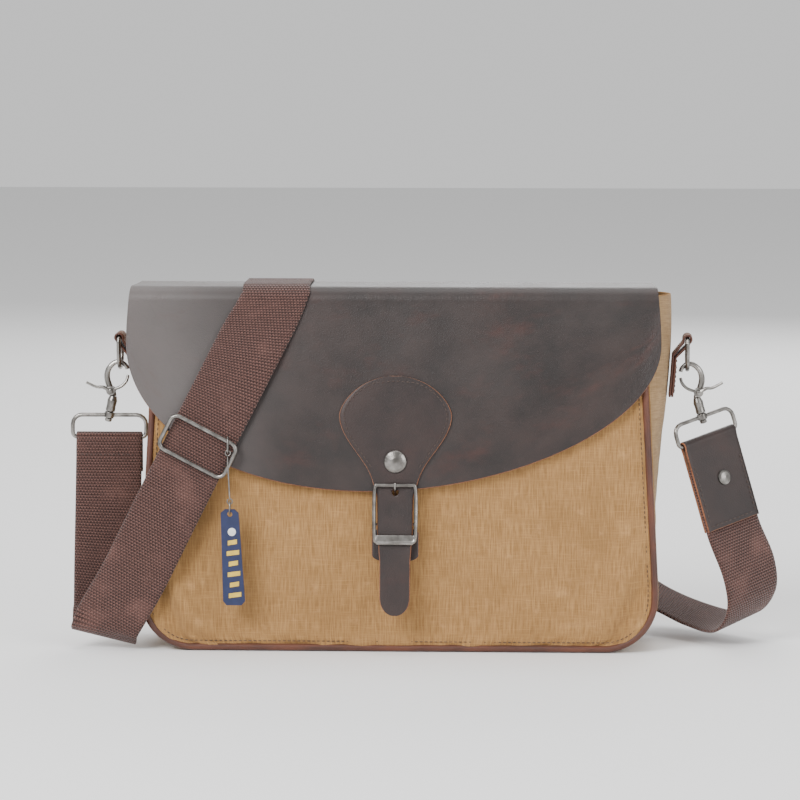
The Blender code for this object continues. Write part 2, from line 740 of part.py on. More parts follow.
def build_rear_strap():
    half = WEBBING_WIDTH / 2
    top_x = strap_x_at_run(0.0)
    top_half = Vector((half, 0, 0))

    def lying(x, y, z):
        return Vector((x, y, z)).normalized() * half

    stations = [
        ((top_x, HINGE_Y + LEATHER + 0.0014, HINGE_Z - WEBBING_HINGE_GAP), top_half),
        ((top_x + 0.008, 0.0345, 0.247), top_half),
        ((-0.050, 0.0440, 0.203), lying(0.85, 0.0, 0.50)),
        ((0.020, 0.0505, 0.150), lying(0.75, 0.0, 0.66)),
        ((0.092, 0.0530, 0.094), lying(0.66, 0.04, 0.71)),
        ((0.145, 0.0625, 0.052), lying(0.50, 0.35, 0.60)),
        ((0.186, 0.0680, 0.0290), lying(0.24, 0.93, 0.22)),
        ((0.222, 0.0440, 0.0160), lying(0.42, 0.84, 0.14)),
        ((0.248, 0.0130, 0.0160), lying(0.62, 0.72, 0.18)),
        ((0.2600, 0.0010, 0.0340), lying(0.74, 0.62, 0.24)),
        ((0.2580, -0.0010, 0.0580), lying(0.775, 0.57, 0.26)),
    ]
    direction = (RIGHT_RING_PLACE.to_3x3() @ Vector((1, 0, 0))) * half
    for drop in (0.0880, 0.0620, 0.0340):
        stations.append((RIGHT_RING_PLACE @ Vector((0, 0, -drop)), direction))
    pairs = [(Vector(c), Vector(h)) for c, h in stations]
    ribbon("strap_rear", pairs, 3, "webbing", columns=2)


def hairpin(radius, gap_half, long_leg, short_leg, leg_step=4):
    """Profile (y, z) of a strip that wraps a bar at the origin and hangs down."""
    path = [(-gap_half, -lerp(long_leg, radius * 1.6, k / leg_step)) for k in range(leg_step + 1)]
    for angle in range(0, 181, 30):
        a = math.radians(angle)
        path.append((-radius * math.cos(a), radius * math.sin(a)))
    path += [(gap_half, -lerp(radius * 1.6, short_leg, k / leg_step)) for k in range(leg_step + 1)]
    return path


def wrap(name, profile, half_width, thickness, material, parent, columns=4):
    def place(u, v):
        y, z = profile[round(v * (len(profile) - 1))]
        return Vector((u * half_width, y, z))

    return sheet(name, columns, len(profile) - 1, place, thickness, material, parent)


def build_strap_end():
    """Leather end piece: wraps the right ring's bar and holds the webbing between its legs."""
    place = add_empty("strap_end_place", RIGHT_RING_PLACE @ Matrix.Translation((0, 0, -RING_DROP)))
    legs = WEBBING / 2 + TOUCH_GAP + TAB_LEATHER / 2
    profile = hairpin(RING_WIRE + 0.0004 + TAB_LEATHER / 2, legs, 0.066, 0.066)
    wrap("strap_end_leather", profile, WEBBING_WIDTH / 2, TAB_LEATHER, "trim_leather", place,
         columns=2)
    face = legs + TAB_LEATHER / 2 + TOUCH_GAP
    front = Matrix.Translation((0.002, -face, -0.031)) @ Matrix.Rotation(math.pi / 2, 4, "X")
    dome = [(0.0, 0.0024), (0.0040, 0.0019), (0.0054, 0.0010), (0.0056, 0.0), (0.0, 0.0)]
    rivet = turned("strap_end_rivet", dome, "antique_nickel", place, steps=20)
    rivet.matrix_local = front


def build_front_loop():
    """The webbing hangs from the left ring, folds under and rises to the slider."""
    half = WEBBING_WIDTH / 2
    level = Vector((half, 0, 0))
    fold = Vector((math.cos(STRAP_ANGLE / 2), 0, -math.sin(STRAP_ANGLE / 2))) * half
    lean = Vector((math.cos(STRAP_ANGLE), math.tan(SLIDER_TURN), -math.sin(STRAP_ANGLE))) * half

    bar = RING_WIRE + 0.0005 + WEBBING / 2
    drop_x = FOLD_BOTTOM.x - LEFT_BAR.x
    centres = [Vector((0, bar, -0.020)), Vector((0, bar, -0.004))]
    halves = [level, level]
    for angle in range(150, -31, -30):
        a = math.radians(angle)
        centres.append(Vector((0, -bar * math.cos(a), bar * math.sin(a))))
        halves.append(level)
    low = FOLD_BOTTOM - LEFT_BAR
    for t in (0.06, 0.14, 0.3, 0.5, 0.7, 0.86, 0.93):
        y = lerp(-bar, low.y * 0.62, smoothstep(t))
        centres.append(Vector((drop_x * t, y, low.z * t)))
        halves.append(level.lerp(fold, t**2))
    rows = len(centres) - 1

    def place_drop(u, v):
        k = round(v * rows)
        return centres[k] + halves[k] * u

    sheet("strap_front_drop", 2, rows, place_drop, WEBBING, "webbing", DROP)

    top = JUNCTION + Vector((-math.sin(STRAP_ANGLE), 0, -math.cos(STRAP_ANGLE))) * 0.0012
    top -= FOLD_BOTTOM
    back_low = Vector((0.0, 0.0085, 0.0135))
    points = [
        (back_low, fold), (Vector((0, 0.0062, 0.0050)), fold), (Vector((0, 0.0, 0.0012)), fold),
        (Vector((0.0008, -0.0062, 0.0055)), fold), (Vector((0.005, -0.0088, 0.0150)), lean),
        (Vector((top.x * 0.35, -0.0105, top.z * 0.35)), lean),
        (Vector((top.x * 0.7, top.y * 0.9 - 0.002, top.z * 0.7)), lean), (top, lean),
    ]
    ribbon("strap_front_rise", points, 3, "webbing", RISE, columns=2)


# ---------------------------------------------------------------- rings, hooks and slider


def ring_outline(half_x, drop, top_radius, low_radius, steps=4):
    """Rounded rectangle (x, z) from the middle of its top bar, clockwise."""
    corners = ((half_x, 0.0, 90), (half_x, -drop, 0), (-half_x, -drop, -90), (-half_x, 0.0, -180))
    points = [(0.0, 0.0)]
    for x, z, start in corners:
        radius = top_radius if z == 0.0 else low_radius
        cx = x - math.copysign(radius, x)
        cz = z - radius if z == 0.0 else z + radius
        for k in range(steps + 1):
            a = math.radians(start - 90 * k / steps)
            points.append((cx + radius * math.cos(a), cz + radius * math.sin(a)))
    return points


def build_ring(name, place, axis):
    """Rectangular ring; the boss in its top bar is bored along the hook's axis."""
    half = RING_INNER_HALF + RING_WIRE
    path = [(x, 0.0, z) for x, z in ring_outline(half, RING_DROP, 0.0070, 0.0034)]
    holder = add_empty(name + "_place", place)
    ring = tube(name, path, RING_WIRE, "antique_nickel", closed=True, parent=holder)
    boss = cylinder(name + "_boss_cutter", 0.0036, 0.0046, None, holder, sides=20)
    boss.matrix_local = axis
    combine(ring, boss, "UNION")
    bore = cylinder(name + "_bore_cutter", 0.0021, 0.0120, None, holder, sides=16)
    bore.matrix_local = axis
    combine(ring, bore, "DIFFERENCE")


def build_dring(name, empty):
    arc = [math.radians(a) for a in range(0, -181, -15)]
    radius = DRING_HALF_WIDTH
    low = -(DRING_DROP - radius)
    path = [(0.0, 0.0, 0.0), (0.0, radius * 0.7, 0.0), (0.0, radius * 0.93, -0.0008)]
    path += [(0.0, radius, -0.0030)]
    path += [(0.0, radius * math.cos(a), low + radius * math.sin(a)) for a in arc]
    path += [(0.0, -radius, -0.0030), (0.0, -radius * 0.93, -0.0008), (0.0, -radius * 0.7, 0.0)]
    tube(name, path, DRING_WIRE, "antique_nickel", closed=True, parent=empty)


def build_hook(side, body, lever_joint):
    """Trigger snap: swivel post, curved claw and a sprung lever on a pin."""
    sign = 1 if side == "right" else -1
    post = [(0.0, 0.0150), (0.0026, 0.0146), (0.0037, 0.0110), (0.0034, 0.0070), (0.0036, 0.0036),
            (0.0033, 0.0027), (0.0016, 0.0027), (0.0016, -0.0027), (0.0027, -0.0027),
            (0.0025, -0.0048), (0.0, -0.0054)]
    claw_points = [(0.0, 0.0, 0.0090), (0.0003 * sign, 0.0013, 0.0150),
                   (0.0044 * sign, 0.0014, 0.0208), (0.0074 * sign, 0.0008, 0.0270),
                   (0.0074 * sign, 0.0, 0.0335), (0.0042 * sign, 0.0, 0.0388),
                   (-0.0004 * sign, 0.0, HOOK_LENGTH), (-0.0048 * sign, 0.0, 0.0384),
                   (-0.0063 * sign, 0.0, 0.0362)]
    steps = 3
    path = spline_points(claw_points, steps)
    radii = [lerp(1.0, 0.62, smoothstep(k / (len(path) - 1))) for k in range(len(path))]
    claw = tube(f"{side}_hook", path, 0.0026, "antique_nickel", radii=radii, parent=body)
    base = turned(f"{side}_post_cutter", post, None, body, steps=20)
    combine(claw, base, "UNION")
    ear = cylinder(f"{side}_ear_cutter", 0.0036, 0.0020, None, body, sides=20)
    pivot = Vector((0.0024 * sign, 0.0, 0.0180))
    across = Matrix.Rotation(math.pi / 2, 4, "X")
    ear.matrix_local = Matrix.Translation(pivot + Vector((0, 0.0016, 0))) @ across
    combine(claw, ear, "UNION")
    hole = cylinder(f"{side}_hole_cutter", 0.00115, 0.0200, None, body, sides=14)
    hole.matrix_local = Matrix.Translation(pivot) @ across
    combine(claw, hole, "DIFFERENCE")

    pin = [(0.0, 0.0058), (0.0016, 0.0054), (0.0019, 0.0049), (0.0008, 0.0049),
           (0.0008, -0.0044), (0.0, -0.0044)]
    rivet = turned(f"{side}_hook_pin", pin, "antique_nickel", body, steps=12)
    rivet.matrix_local = Matrix.Translation(pivot) @ across

    hub = cylinder(f"{side}_lever", 0.0034, 0.0022, "antique_nickel", lever_joint, sides=20)
    hub.matrix_local = Matrix.Translation((0, -0.0026, 0)) @ across
    reach = [Vector((-0.0010 * sign, -0.0026, 0.0010)), Vector((-0.0068 * sign, -0.0026, 0.0048)),
             Vector((-0.0098 * sign, -0.0012, 0.0095)), Vector((-0.0100 * sign, 0.0, 0.0140))]
    gate = tube(f"{side}_gate_cutter", spline_points(reach, 3), 0.0012, None, parent=lever_joint)
    thumb = [Vector((0.0010 * sign, -0.0026, 0.0)), Vector((0.0060 * sign, -0.0029, 0.0016)),
             Vector((0.0110 * sign, -0.0033, 0.0008)), Vector((0.0190 * sign, -0.0035, 0.0026))]
    thumb_radii = [1.0, 0.95, 0.9, 0.85, 0.8, 0.78, 0.75, 0.72, 0.70, 0.72]
    trigger = tube(f"{side}_thumb_cutter", spline_points(thumb, 3), 0.0016, None,
                   radii=thumb_radii, parent=lever_joint)
    combine(hub, gate, "UNION")
    combine(hub, trigger, "UNION")
    eye = cylinder(f"{side}_eye_cutter", 0.00125, 0.0100, None, lever_joint, sides=14)
    eye.matrix_local = Matrix.Translation((0, -0.0026, 0)) @ across
    combine(hub, eye, "DIFFERENCE")


def build_loop_tab(side, loop_x, sign):
    """Leather tab sewn to the side wall; its fold holds the D-ring's straight bar."""
    fold = DRING_WIRE + 0.0004 + LEATHER_TAB / 2

    def wall_x(z):
        swell = gusset_bulge(sign, z)
        return seam_half_width(z) + SHELL_OUTSET + swell + CANVAS / 2 + 0.0006

    bar_x = abs(loop_x)
    inner = TOUCH_GAP + LEATHER_TAB / 2
    outer = inner + LEATHER_TAB + TOUCH_GAP
    low_z = 0.186 if sign > 0 else 0.192
    path = [(wall_x(z) + inner, z) for z in (low_z, lerp(low_z, 0.2170, 0.5), 0.2170)]
    path.append((bar_x - fold * 1.02, TAB_LOOP_Z - 0.0022))
    for angle in range(180, -31, -30):
        a = math.radians(angle)
        path.append((bar_x + fold * math.cos(a), TAB_LOOP_Z + fold * math.sin(a)))
    path.append((bar_x - 0.0005, TAB_LOOP_Z - fold - 0.0022))
    path += [(wall_x(z) + outer, z) for z in (0.2150, lerp(low_z, 0.2150, 0.5), low_z)]

    def place(u, v):
        x, z = path[round(v * (len(path) - 1))]
        return Vector((sign * x, u * 0.0098, z))

    sheet(f"{side}_loop_tab", 3, len(path) - 1, place, LEATHER_TAB, "piping_leather")


LEATHER_TAB = 0.0016
SLIDER_HALF = WEBBING_WIDTH / 2 + 0.0022
SLIDER_WIRE = 0.0017
SLIDER_STAND_OFF = 0.0021  # leaves room for the tag's ring behind the frame
FRAME_FRONT = -(WEBBING / 2 + SLIDER_STAND_OFF + SLIDER_WIRE)
SLIDER_Y = flap_front_y(strap_centre_x(SLIDER_Z), SLIDER_Z) - UPPER_LIFT - SLIDER_RISE
TAG_RING_HALF = (0.0028, 0.0060)
TAG_WIRE = 0.0007
TAG_ROD = 0.0006
TAG_FORWARD = -0.0040  # the rod and tag hang in front of the slider's frame


def build_slider():
    """Slider on the strap: a wire frame in front and a centre bar behind the webbing."""
    front = FRAME_FRONT
    outline = ring_outline(SLIDER_HALF, 2 * SLIDER_BAR_GAP, 0.0055, 0.0055)
    path = [(x, front, z + SLIDER_BAR_GAP) for x, z in outline]
    frame = tube("slider_frame", path, SLIDER_WIRE, "antique_nickel", closed=True, parent=SLIDER)
    behind = WEBBING / 2 + TOUCH_GAP + BAR_RADIUS
    reach = SLIDER_HALF
    bar = [(-reach, front, 0.0), (-reach, -0.0010, 0.0), (-reach + 0.0012, behind, 0.0),
           (reach - 0.0012, behind, 0.0), (reach, -0.0010, 0.0), (reach, front, 0.0)]
    combine(frame, tube("centre_bar_cutter", bar, BAR_RADIUS, None, parent=SLIDER), "UNION")


def ellipse(centre, half_y, half_z, steps=16):
    turns = [2 * math.pi * k / steps for k in range(steps)]
    return [centre + Vector((0, half_y * math.cos(a), half_z * math.sin(a))) for a in turns]


def build_tag():
    """Generic rubber hang tag on a rod link; its first ring rides on the slider's bar."""
    path = [TAG_RING_TO_SLIDER @ p for p in ellipse(Vector(), *TAG_RING_HALF)]
    tube("tag_split_ring", path, TAG_WIRE, "antique_nickel", closed=True, parent=SLIDER)

    eye = 0.0019
    rod = [Vector((eye * math.sin(a), 0, eye * math.cos(a)))
           for a in [math.radians(k) for k in range(200, 561, 30)]]
    rod += [Vector((0.0, -0.0014, -0.0030)), Vector((0.0, TAG_FORWARD, -0.0058)),
            Vector((0.0008, TAG_FORWARD, -0.0180)), Vector((0.0014, TAG_FORWARD, -0.0300))]
    low = Vector((0.0016, TAG_FORWARD, -0.0350))
    rod += [low + Vector((eye * math.sin(a), 0, eye * math.cos(a)))
            for a in [math.radians(k) for k in range(0, 331, 30)]]
    tube("tag_rod", rod, TAG_ROD, "antique_nickel", parent=TAG)
    jump = ellipse(low + Vector((0, 0, -0.0048)), 0.0030, 0.0050)
    tube("tag_jump_ring", jump, 0.0005, "antique_nickel", closed=True, parent=TAG)
    hole_z = low.z - 0.0094
    outline = [(-0.0050, hole_z + 0.0010), (-0.0020, hole_z + 0.0036), (0.0050, hole_z + 0.0036),
               (0.0080, hole_z + 0.0010), (0.0125, hole_z - 0.0640), (0.0100, hole_z - 0.0670),
               (-0.0010, hole_z - 0.0670), (-0.0035, hole_z - 0.0640)]
    tag = plate("hang_tag", outline, 0.0026, "tag_rubber", TAG, holes=[(low.x, hole_z, 0.0020)])
    tag.location.y = TAG_FORWARD


# ---------------------------------------------------------------- joints and assembly

JUNCTION_Z = SLIDER_Z - SLIDER_BAR_GAP * math.cos(STRAP_ANGLE)
JUNCTION_X = strap_centre_x(JUNCTION_Z)
JUNCTION_Y = flap_front_y(JUNCTION_X, JUNCTION_Z) - UPPER_LIFT - SLIDER_RISE
JUNCTION = Vector((JUNCTION_X, JUNCTION_Y, JUNCTION_Z))

HINGE_PLACE = Matrix.Translation((0, HINGE_Y, HINGE_Z))
FLAP = add_empty("flap_hinge", HINGE_PLACE)
CLOSURE_LINE = flap_surface(TAB_X, run_to_height(CLOSURE_Z), TAB_LIFT + TAB_LEATHER / 2)
CLOSURE_PLACE = Matrix.Translation(CLOSURE_LINE) @ Matrix.Rotation(-CLOSURE_TILT, 4, "X")
CLOSURE = add_empty("closure_lift", HINGE_PLACE.inverted() @ CLOSURE_PLACE, FLAP)

build_flap(HINGE_PLACE.inverted())
build_tab(HINGE_PLACE.inverted())
build_closure_strap()
build_buckle()
build_chape()
build_snap()


def loop_point(x):
    return Vector((x, 0.0, TAB_LOOP_Z))


def hook_place(loop_x, tilt):
    """Swivel post of a hook that hangs from its D-ring with its own axis tilted."""
    rotation = Matrix.Rotation(tilt, 4, "Y")
    link = DRING_DROP - DRING_WIRE - 0.0026 * 0.80 - 0.0004
    top = loop_point(loop_x) - Vector((0, 0, link))
    base = top - rotation.to_3x3() @ Vector((0, 0, HOOK_LENGTH))
    return Matrix.Translation(base) @ rotation


LEFT_HOOK_PLACE = hook_place(LEFT_LOOP_X, LEFT_TILT)
RIGHT_HOOK_PLACE = hook_place(RIGHT_LOOP_X, RIGHT_TILT)
LEFT_RING_PLACE = Matrix.Translation(LEFT_HOOK_PLACE.translation)  # hangs level
RIGHT_RING_PLACE = RIGHT_HOOK_PLACE @ Matrix.Rotation(RIGHT_TURN, 4, "Z")
LEFT_BAR = LEFT_RING_PLACE @ Vector((0, 0, -RING_DROP))

DROP = add_empty("strap_drop", Matrix.Translation(LEFT_BAR))
RISE = add_empty("strap_rise", Matrix.Translation(FOLD_BOTTOM - LEFT_BAR), DROP)
SLIDER_TILT = Matrix.Rotation(STRAP_ANGLE, 4, "Y") @ Matrix.Rotation(SLIDER_TURN, 4, "Z")
SLIDER_CENTRE = Vector((strap_centre_x(SLIDER_Z), SLIDER_Y, SLIDER_Z))
SLIDER = add_empty(
    "slider_slide", HINGE_PLACE.inverted() @ Matrix.Translation(SLIDER_CENTRE) @ SLIDER_TILT, FLAP)
SLIDER_PLACE = Matrix.Translation(SLIDER_CENTRE) @ SLIDER_TILT
TAG_BAR_POINT = SLIDER_PLACE @ Vector((SLIDER_HALF - 0.0085, FRAME_FRONT, SLIDER_BAR_GAP))
TAG_RING_DROP = TAG_RING_HALF[1] - TAG_WIRE - 0.0009 - SLIDER_WIRE / math.cos(STRAP_ANGLE)
TAG_RING_CENTRE = TAG_BAR_POINT - Vector((0, 0, TAG_RING_DROP))
TAG_RING_TO_SLIDER = SLIDER_PLACE.inverted() @ Matrix.Translation(TAG_RING_CENTRE)
TAG_POINT = TAG_RING_CENTRE - Vector((0, 0, TAG_RING_HALF[1]))
TAG = add_empty("tag_swing", SLIDER_PLACE.inverted() @ Matrix.Translation(TAG_POINT), SLIDER)

build_upper_strap(HINGE_PLACE.inverted())
build_rear_strap()
build_strap_end()
build_front_loop()
build_slider()
build_tag()

SIDES = (("left", LEFT_LOOP_X, -1, LEFT_HOOK_PLACE, LEFT_RING_PLACE),
         ("right", RIGHT_LOOP_X, 1, RIGHT_HOOK_PLACE, RIGHT_RING_PLACE))
for side, loop_x, sign, place, ring_place in SIDES:
    build_ring(f"{side}_ring", ring_place, ring_place.inverted() @ place)
    dring_place = Matrix.Translation(loop_point(loop_x))
    build_dring(f"{side}_dring", add_empty(f"{side}_dring_swing", dring_place))
    hook_body = add_empty(f"{side}_hook_swivel", place)
    pivot_place = Matrix.Translation((0.0024 * sign, 0.0, 0.0180))
    lever = add_empty(f"{side}_lever_pivot", pivot_place, hook_body)
    build_hook(side, hook_body, lever)
    build_loop_tab(side, loop_x, sign)
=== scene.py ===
"""Looks of the messenger bag: waxed canvas, oiled leather, webbing and antique nickel.

All sizes are in metres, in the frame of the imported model: +Z up, -Y the flap's front.
"""

import math

import bmesh
import bpy
from mathutils import Matrix, Vector, noise


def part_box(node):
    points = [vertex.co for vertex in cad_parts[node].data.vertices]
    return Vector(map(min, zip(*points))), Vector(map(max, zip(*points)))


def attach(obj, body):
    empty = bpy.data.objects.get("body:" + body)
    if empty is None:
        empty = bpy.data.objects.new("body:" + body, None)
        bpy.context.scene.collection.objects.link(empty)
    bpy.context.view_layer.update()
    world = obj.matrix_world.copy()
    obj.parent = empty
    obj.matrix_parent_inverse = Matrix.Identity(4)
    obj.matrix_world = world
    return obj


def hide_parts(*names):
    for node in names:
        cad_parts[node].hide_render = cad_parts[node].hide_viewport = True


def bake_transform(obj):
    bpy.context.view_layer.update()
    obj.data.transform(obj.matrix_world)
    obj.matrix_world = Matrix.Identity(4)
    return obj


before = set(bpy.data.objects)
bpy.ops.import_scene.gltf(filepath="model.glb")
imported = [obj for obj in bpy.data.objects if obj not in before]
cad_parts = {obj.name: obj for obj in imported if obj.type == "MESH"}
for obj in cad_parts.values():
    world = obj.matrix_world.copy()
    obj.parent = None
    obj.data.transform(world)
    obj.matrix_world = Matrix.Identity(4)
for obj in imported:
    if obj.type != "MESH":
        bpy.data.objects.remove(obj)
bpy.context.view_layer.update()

# ---------------------------------------------------------------- sizes shared with the CAD

BODY_HEIGHT = 0.262
SEAM_HALF_WIDTH = 0.188
SEAM_TAPER = 0.054
TAPER_START_Z = 0.050
CORNER_RADIUS = 0.037
HALF_DEPTH_BASE = 0.038
HALF_DEPTH_TOP = 0.0235
PANEL_BULGE = 0.008
CANVAS = 0.0012
PIPING_RADIUS = 0.0026
PIPING_Z = 0.0029
SHELL_OUTSET = PIPING_Z - CANVAS / 2
LINING_INSET = 0.0042
LINING = 0.0008

LEATHER = 0.0022
FLAP_CENTRE_X = -0.004
FLAP_HALF_WIDTH = 0.196
FLAP_TOP_NARROWING = 0.032
FLAP_WIDEST_Z = 0.226
FLAP_LOWEST_Z = 0.1195
FLAP_SKEW = 0.10
FLAP_STAND_OFF = 0.0045
FOLD_RADIUS = 0.010
HINGE_Y = 0.0263
HINGE_Z = 0.2655
FLAP_MID_Z = HINGE_Z + LEATHER / 2
ARC_Z = FLAP_MID_Z - FOLD_RADIUS
TOP_RUN = 0.044
ARC_RUN = FOLD_RADIUS * math.pi / 2
BACK_STRIP_LENGTH = 0.034
BACK_STRIP_HALF_WIDTH = 0.170

TAB_X = -0.0017
TAB_LEATHER = 0.0018
TAB_TOP_Z = 0.2037
TAB_WIDEST_Z = 0.175
TAB_HALF_WIDTH = 0.0412
TAB_NECK_HALF_WIDTH = 0.016
TAB_NECK_Z = 0.121
TAB_LIFT = LEATHER / 2 + 0.0003 + TAB_LEATHER / 2
CLOSURE_Z = 0.1268
CLOSURE_TILT = math.radians(7.7)
STRAP_LENGTH = 0.098
STRAP_STATIONS = ((0.0, 0.0166), (0.006, 0.0147), (0.011, 0.0134), (0.035, 0.0130),
                  (0.047, 0.0120), (0.060, 0.0112), (0.078, 0.0112), (0.100, 0.0112))
TIP_LENGTH = 0.014
BAR_Y = TAB_LEATHER + 0.0036
BAR_Z = -0.031
CHAPE_LEATHER = 0.0012
CHAPE_WRAP = 0.0020
CHAPE_END_Z = -0.059
PRONG_HOLE_Z = -0.0076

WEBBING = 0.002
WEBBING_WIDTH = 0.049
STRAP_ANGLE = math.atan2(0.1335, 0.263)
STRAP_SLOPE = math.tan(STRAP_ANGLE)
UPPER_LIFT = LEATHER / 2 + 0.0004 + WEBBING / 2
FOLD_BOTTOM = Vector((-0.2175, -0.0330, 0.0085))
SLIDER_Z = 0.152
SLIDER_RISE = 0.0030
SLIDER_BAR_GAP = 0.0135
SLIDER_TURN = math.radians(-4.5)

RING_WIRE = 0.0016
RING_DROP = 0.0165
DRING_WIRE = 0.00165
DRING_DROP = 0.0230
HOOK_LENGTH = 0.0405
TAB_LOOP_Z = 0.2285
LEFT_LOOP_X = -0.2075
RIGHT_LOOP_X = 0.2115
LOOP_LEATHER = 0.0016
RIGHT_TILT = math.radians(-16)
RIGHT_TURN = math.radians(36)
LEFT_TILT = math.radians(12)

SKY = 0.62  # strength of the light from all round
BACKDROP = 0.8  # brightness of the backdrop behind the floor

# ---------------------------------------------------------------- numbers and curves


def smoothstep(t):
    t = min(max(t, 0.0), 1.0)
    return t * t * (3 - 2 * t)


def lerp(a, b, t):
    return a + (b - a) * t


def spline_points(points, steps):
    """Points along a smooth (Catmull-Rom) curve through the given points."""
    path = [Vector(p) for p in points]
    out = []
    for i in range(len(path) - 1):
        a, b = path[i], path[i + 1]
        ta = (b - path[max(i - 1, 0)]) / 2
        tb = (path[min(i + 2, len(path) - 1)] - a) / 2
        for k in range(steps):
            t = k / steps
            out.append(a * (2 * t**3 - 3 * t**2 + 1) + ta * (t**3 - 2 * t**2 + t)
                       + b * (3 * t**2 - 2 * t**3) + tb * (t**3 - t**2))
    out.append(path[-1])
    return out


def resample(points, pitch):
    """Points a steady distance apart along a path of points."""
    lengths = [0.0]
    for a, b in zip(points, points[1:]):
        lengths.append(lengths[-1] + (b - a).length)
    count = max(2, round(lengths[-1] / pitch) + 1)
    out, i = [], 0
    for k in range(count):
        at = lengths[-1] * k / (count - 1)
        while i < len(points) - 2 and lengths[i + 1] < at:
            i += 1
        span = max(lengths[i + 1] - lengths[i], 1e-9)
        out.append(points[i].lerp(points[i + 1], (at - lengths[i]) / span))
    return out


def ripple(x, y, scale, seed):
    """Smooth noise from -1 to 1 over a surface."""
    return noise.noise(Vector((x * scale, y * scale, seed)))


# ---------------------------------------------------------------- surfaces of the bag


def seam_half_width(z):
    return SEAM_HALF_WIDTH - SEAM_TAPER * max(0.0, z - TAPER_START_Z)


def half_depth(z):
    return lerp(HALF_DEPTH_BASE, HALF_DEPTH_TOP, z / BODY_HEIGHT)


def outline_half_width(z, outset):
    low = PIPING_Z - outset
    radius = CORNER_RADIUS + outset
    width = seam_half_width(z) + outset
    up = z - low
    if up < radius:
        width -= radius - math.sqrt(max(radius**2 - (radius - up) ** 2, 0.0))
    return width


def bulge(x, z):
    across = max(0.0, 1 - (x / seam_half_width(z)) ** 2)
    up = max(0.0, math.sin(math.pi * min(max(z / BODY_HEIGHT, 0.0), 1.0)))
    return PANEL_BULGE * across * up


def outline_stations(outset, top, flat_steps=40, corner_steps=16, side_steps=50):
    """Points (x, z) and outward directions along the U-shaped seam, left top to right."""
    low = PIPING_Z - outset
    radius = CORNER_RADIUS + outset
    flat = SEAM_HALF_WIDTH - CORNER_RADIUS
    right = [(Vector((flat * k / flat_steps, low)), Vector((0.0, -1.0)))
             for k in range(flat_steps)]
    for k in range(corner_steps + 1):
        turn = math.pi / 2 * k / corner_steps
        out = Vector((math.sin(turn), -math.cos(turn)))
        right.append((Vector((flat, low + radius)) + out * radius, out))
    for k in range(1, side_steps + 1):
        z = lerp(low + radius, top, k / side_steps)
        right.append((Vector((seam_half_width(z) + outset, z)), Vector((1.0, 0.0))))
    left = [(Vector((-p.x, p.y)), Vector((-o.x, o.y))) for p, o in reversed(right[1:])]
    return left + right


def gusset_bulge(x, z):
    if x > 0:
        return 0.020 * smoothstep((z - 0.07) / 0.19)
    return 0.0165 * smoothstep((z - 0.168) / 0.058)


def flap_front_y(x, z):
    return -(half_depth(z) + FLAP_STAND_OFF + bulge(x, z))


def flap_surface(x, run, lift):
    """Point at a distance run from the hinge along the flap, lifted off its middle."""
    fold_y = flap_front_y(x, ARC_Z) + FOLD_RADIUS
    if run <= TOP_RUN:
        return Vector((x, lerp(HINGE_Y, fold_y, run / TOP_RUN), FLAP_MID_Z + lift))
    if run <= TOP_RUN + ARC_RUN:
        turn = (run - TOP_RUN) / FOLD_RADIUS
        reach = FOLD_RADIUS + lift
        return Vector((x, fold_y - reach * math.sin(turn), ARC_Z + reach * math.cos(turn)))
    z = ARC_Z - (run - TOP_RUN - ARC_RUN)
    return Vector((x, flap_front_y(x, z) - lift, z))


def run_to_height(z):
    return TOP_RUN + ARC_RUN + ARC_Z - z


def flap_edge_z(s):
    drop = FLAP_WIDEST_Z - FLAP_LOWEST_Z
    return FLAP_WIDEST_Z - drop * math.sqrt(max(0.0, 1 - s * s)) * (1 - FLAP_SKEW * s)


def flap_width_share(run):
    return 1 - FLAP_TOP_NARROWING * (1 - smoothstep(run / run_to_height(FLAP_WIDEST_Z)))


def tab_half_width(z):
    if z > TAB_WIDEST_Z:
        up = (z - TAB_WIDEST_Z) / (TAB_TOP_Z - TAB_WIDEST_Z)
        return TAB_HALF_WIDTH * math.sqrt(max(0.012, 1 - up**1.6))
    down = min((TAB_WIDEST_Z - z) / (TAB_WIDEST_Z - TAB_NECK_Z), 1.0)
    flare = (TAB_HALF_WIDTH - TAB_NECK_HALF_WIDTH) / 2
    return TAB_NECK_HALF_WIDTH + flare * (1 + math.cos(math.pi * down))


def strap_half_width(down):
    for (a, width_a), (b, width_b) in zip(STRAP_STATIONS, STRAP_STATIONS[1:]):
        if down <= b:
            width = lerp(width_a, width_b, smoothstep((down - a) / (b - a)))
            break
    left = max(0.0, (down - (STRAP_LENGTH - TIP_LENGTH)) / TIP_LENGTH)
    return width * math.sqrt(max(0.002, 1 - left**2.2))


def strap_centre_x(z):
    return FOLD_BOTTOM.x + (z - 0.011) * STRAP_SLOPE


STRAIGHT_RUN = TOP_RUN + ARC_RUN * 0.6  # behind this the webbing runs straight back


def strap_x_at_run(run):
    down = run_to_height(SLIDER_Z) - max(run, STRAIGHT_RUN)
    return strap_centre_x(SLIDER_Z) + down * STRAP_SLOPE


def strap_slant(run):
    return smoothstep((run - TOP_RUN) / (ARC_RUN + 0.020))


CLOSURE_PLACE = Matrix.Translation(
    flap_surface(TAB_X, run_to_height(CLOSURE_Z), TAB_LIFT + TAB_LEATHER / 2)
) @ Matrix.Rotation(-CLOSURE_TILT, 4, "X")
JUNCTION_Z = SLIDER_Z - SLIDER_BAR_GAP * math.cos(STRAP_ANGLE)
JUNCTION = Vector((strap_centre_x(JUNCTION_Z),
                   flap_front_y(strap_centre_x(JUNCTION_Z), JUNCTION_Z) - UPPER_LIFT
                   - SLIDER_RISE, JUNCTION_Z))


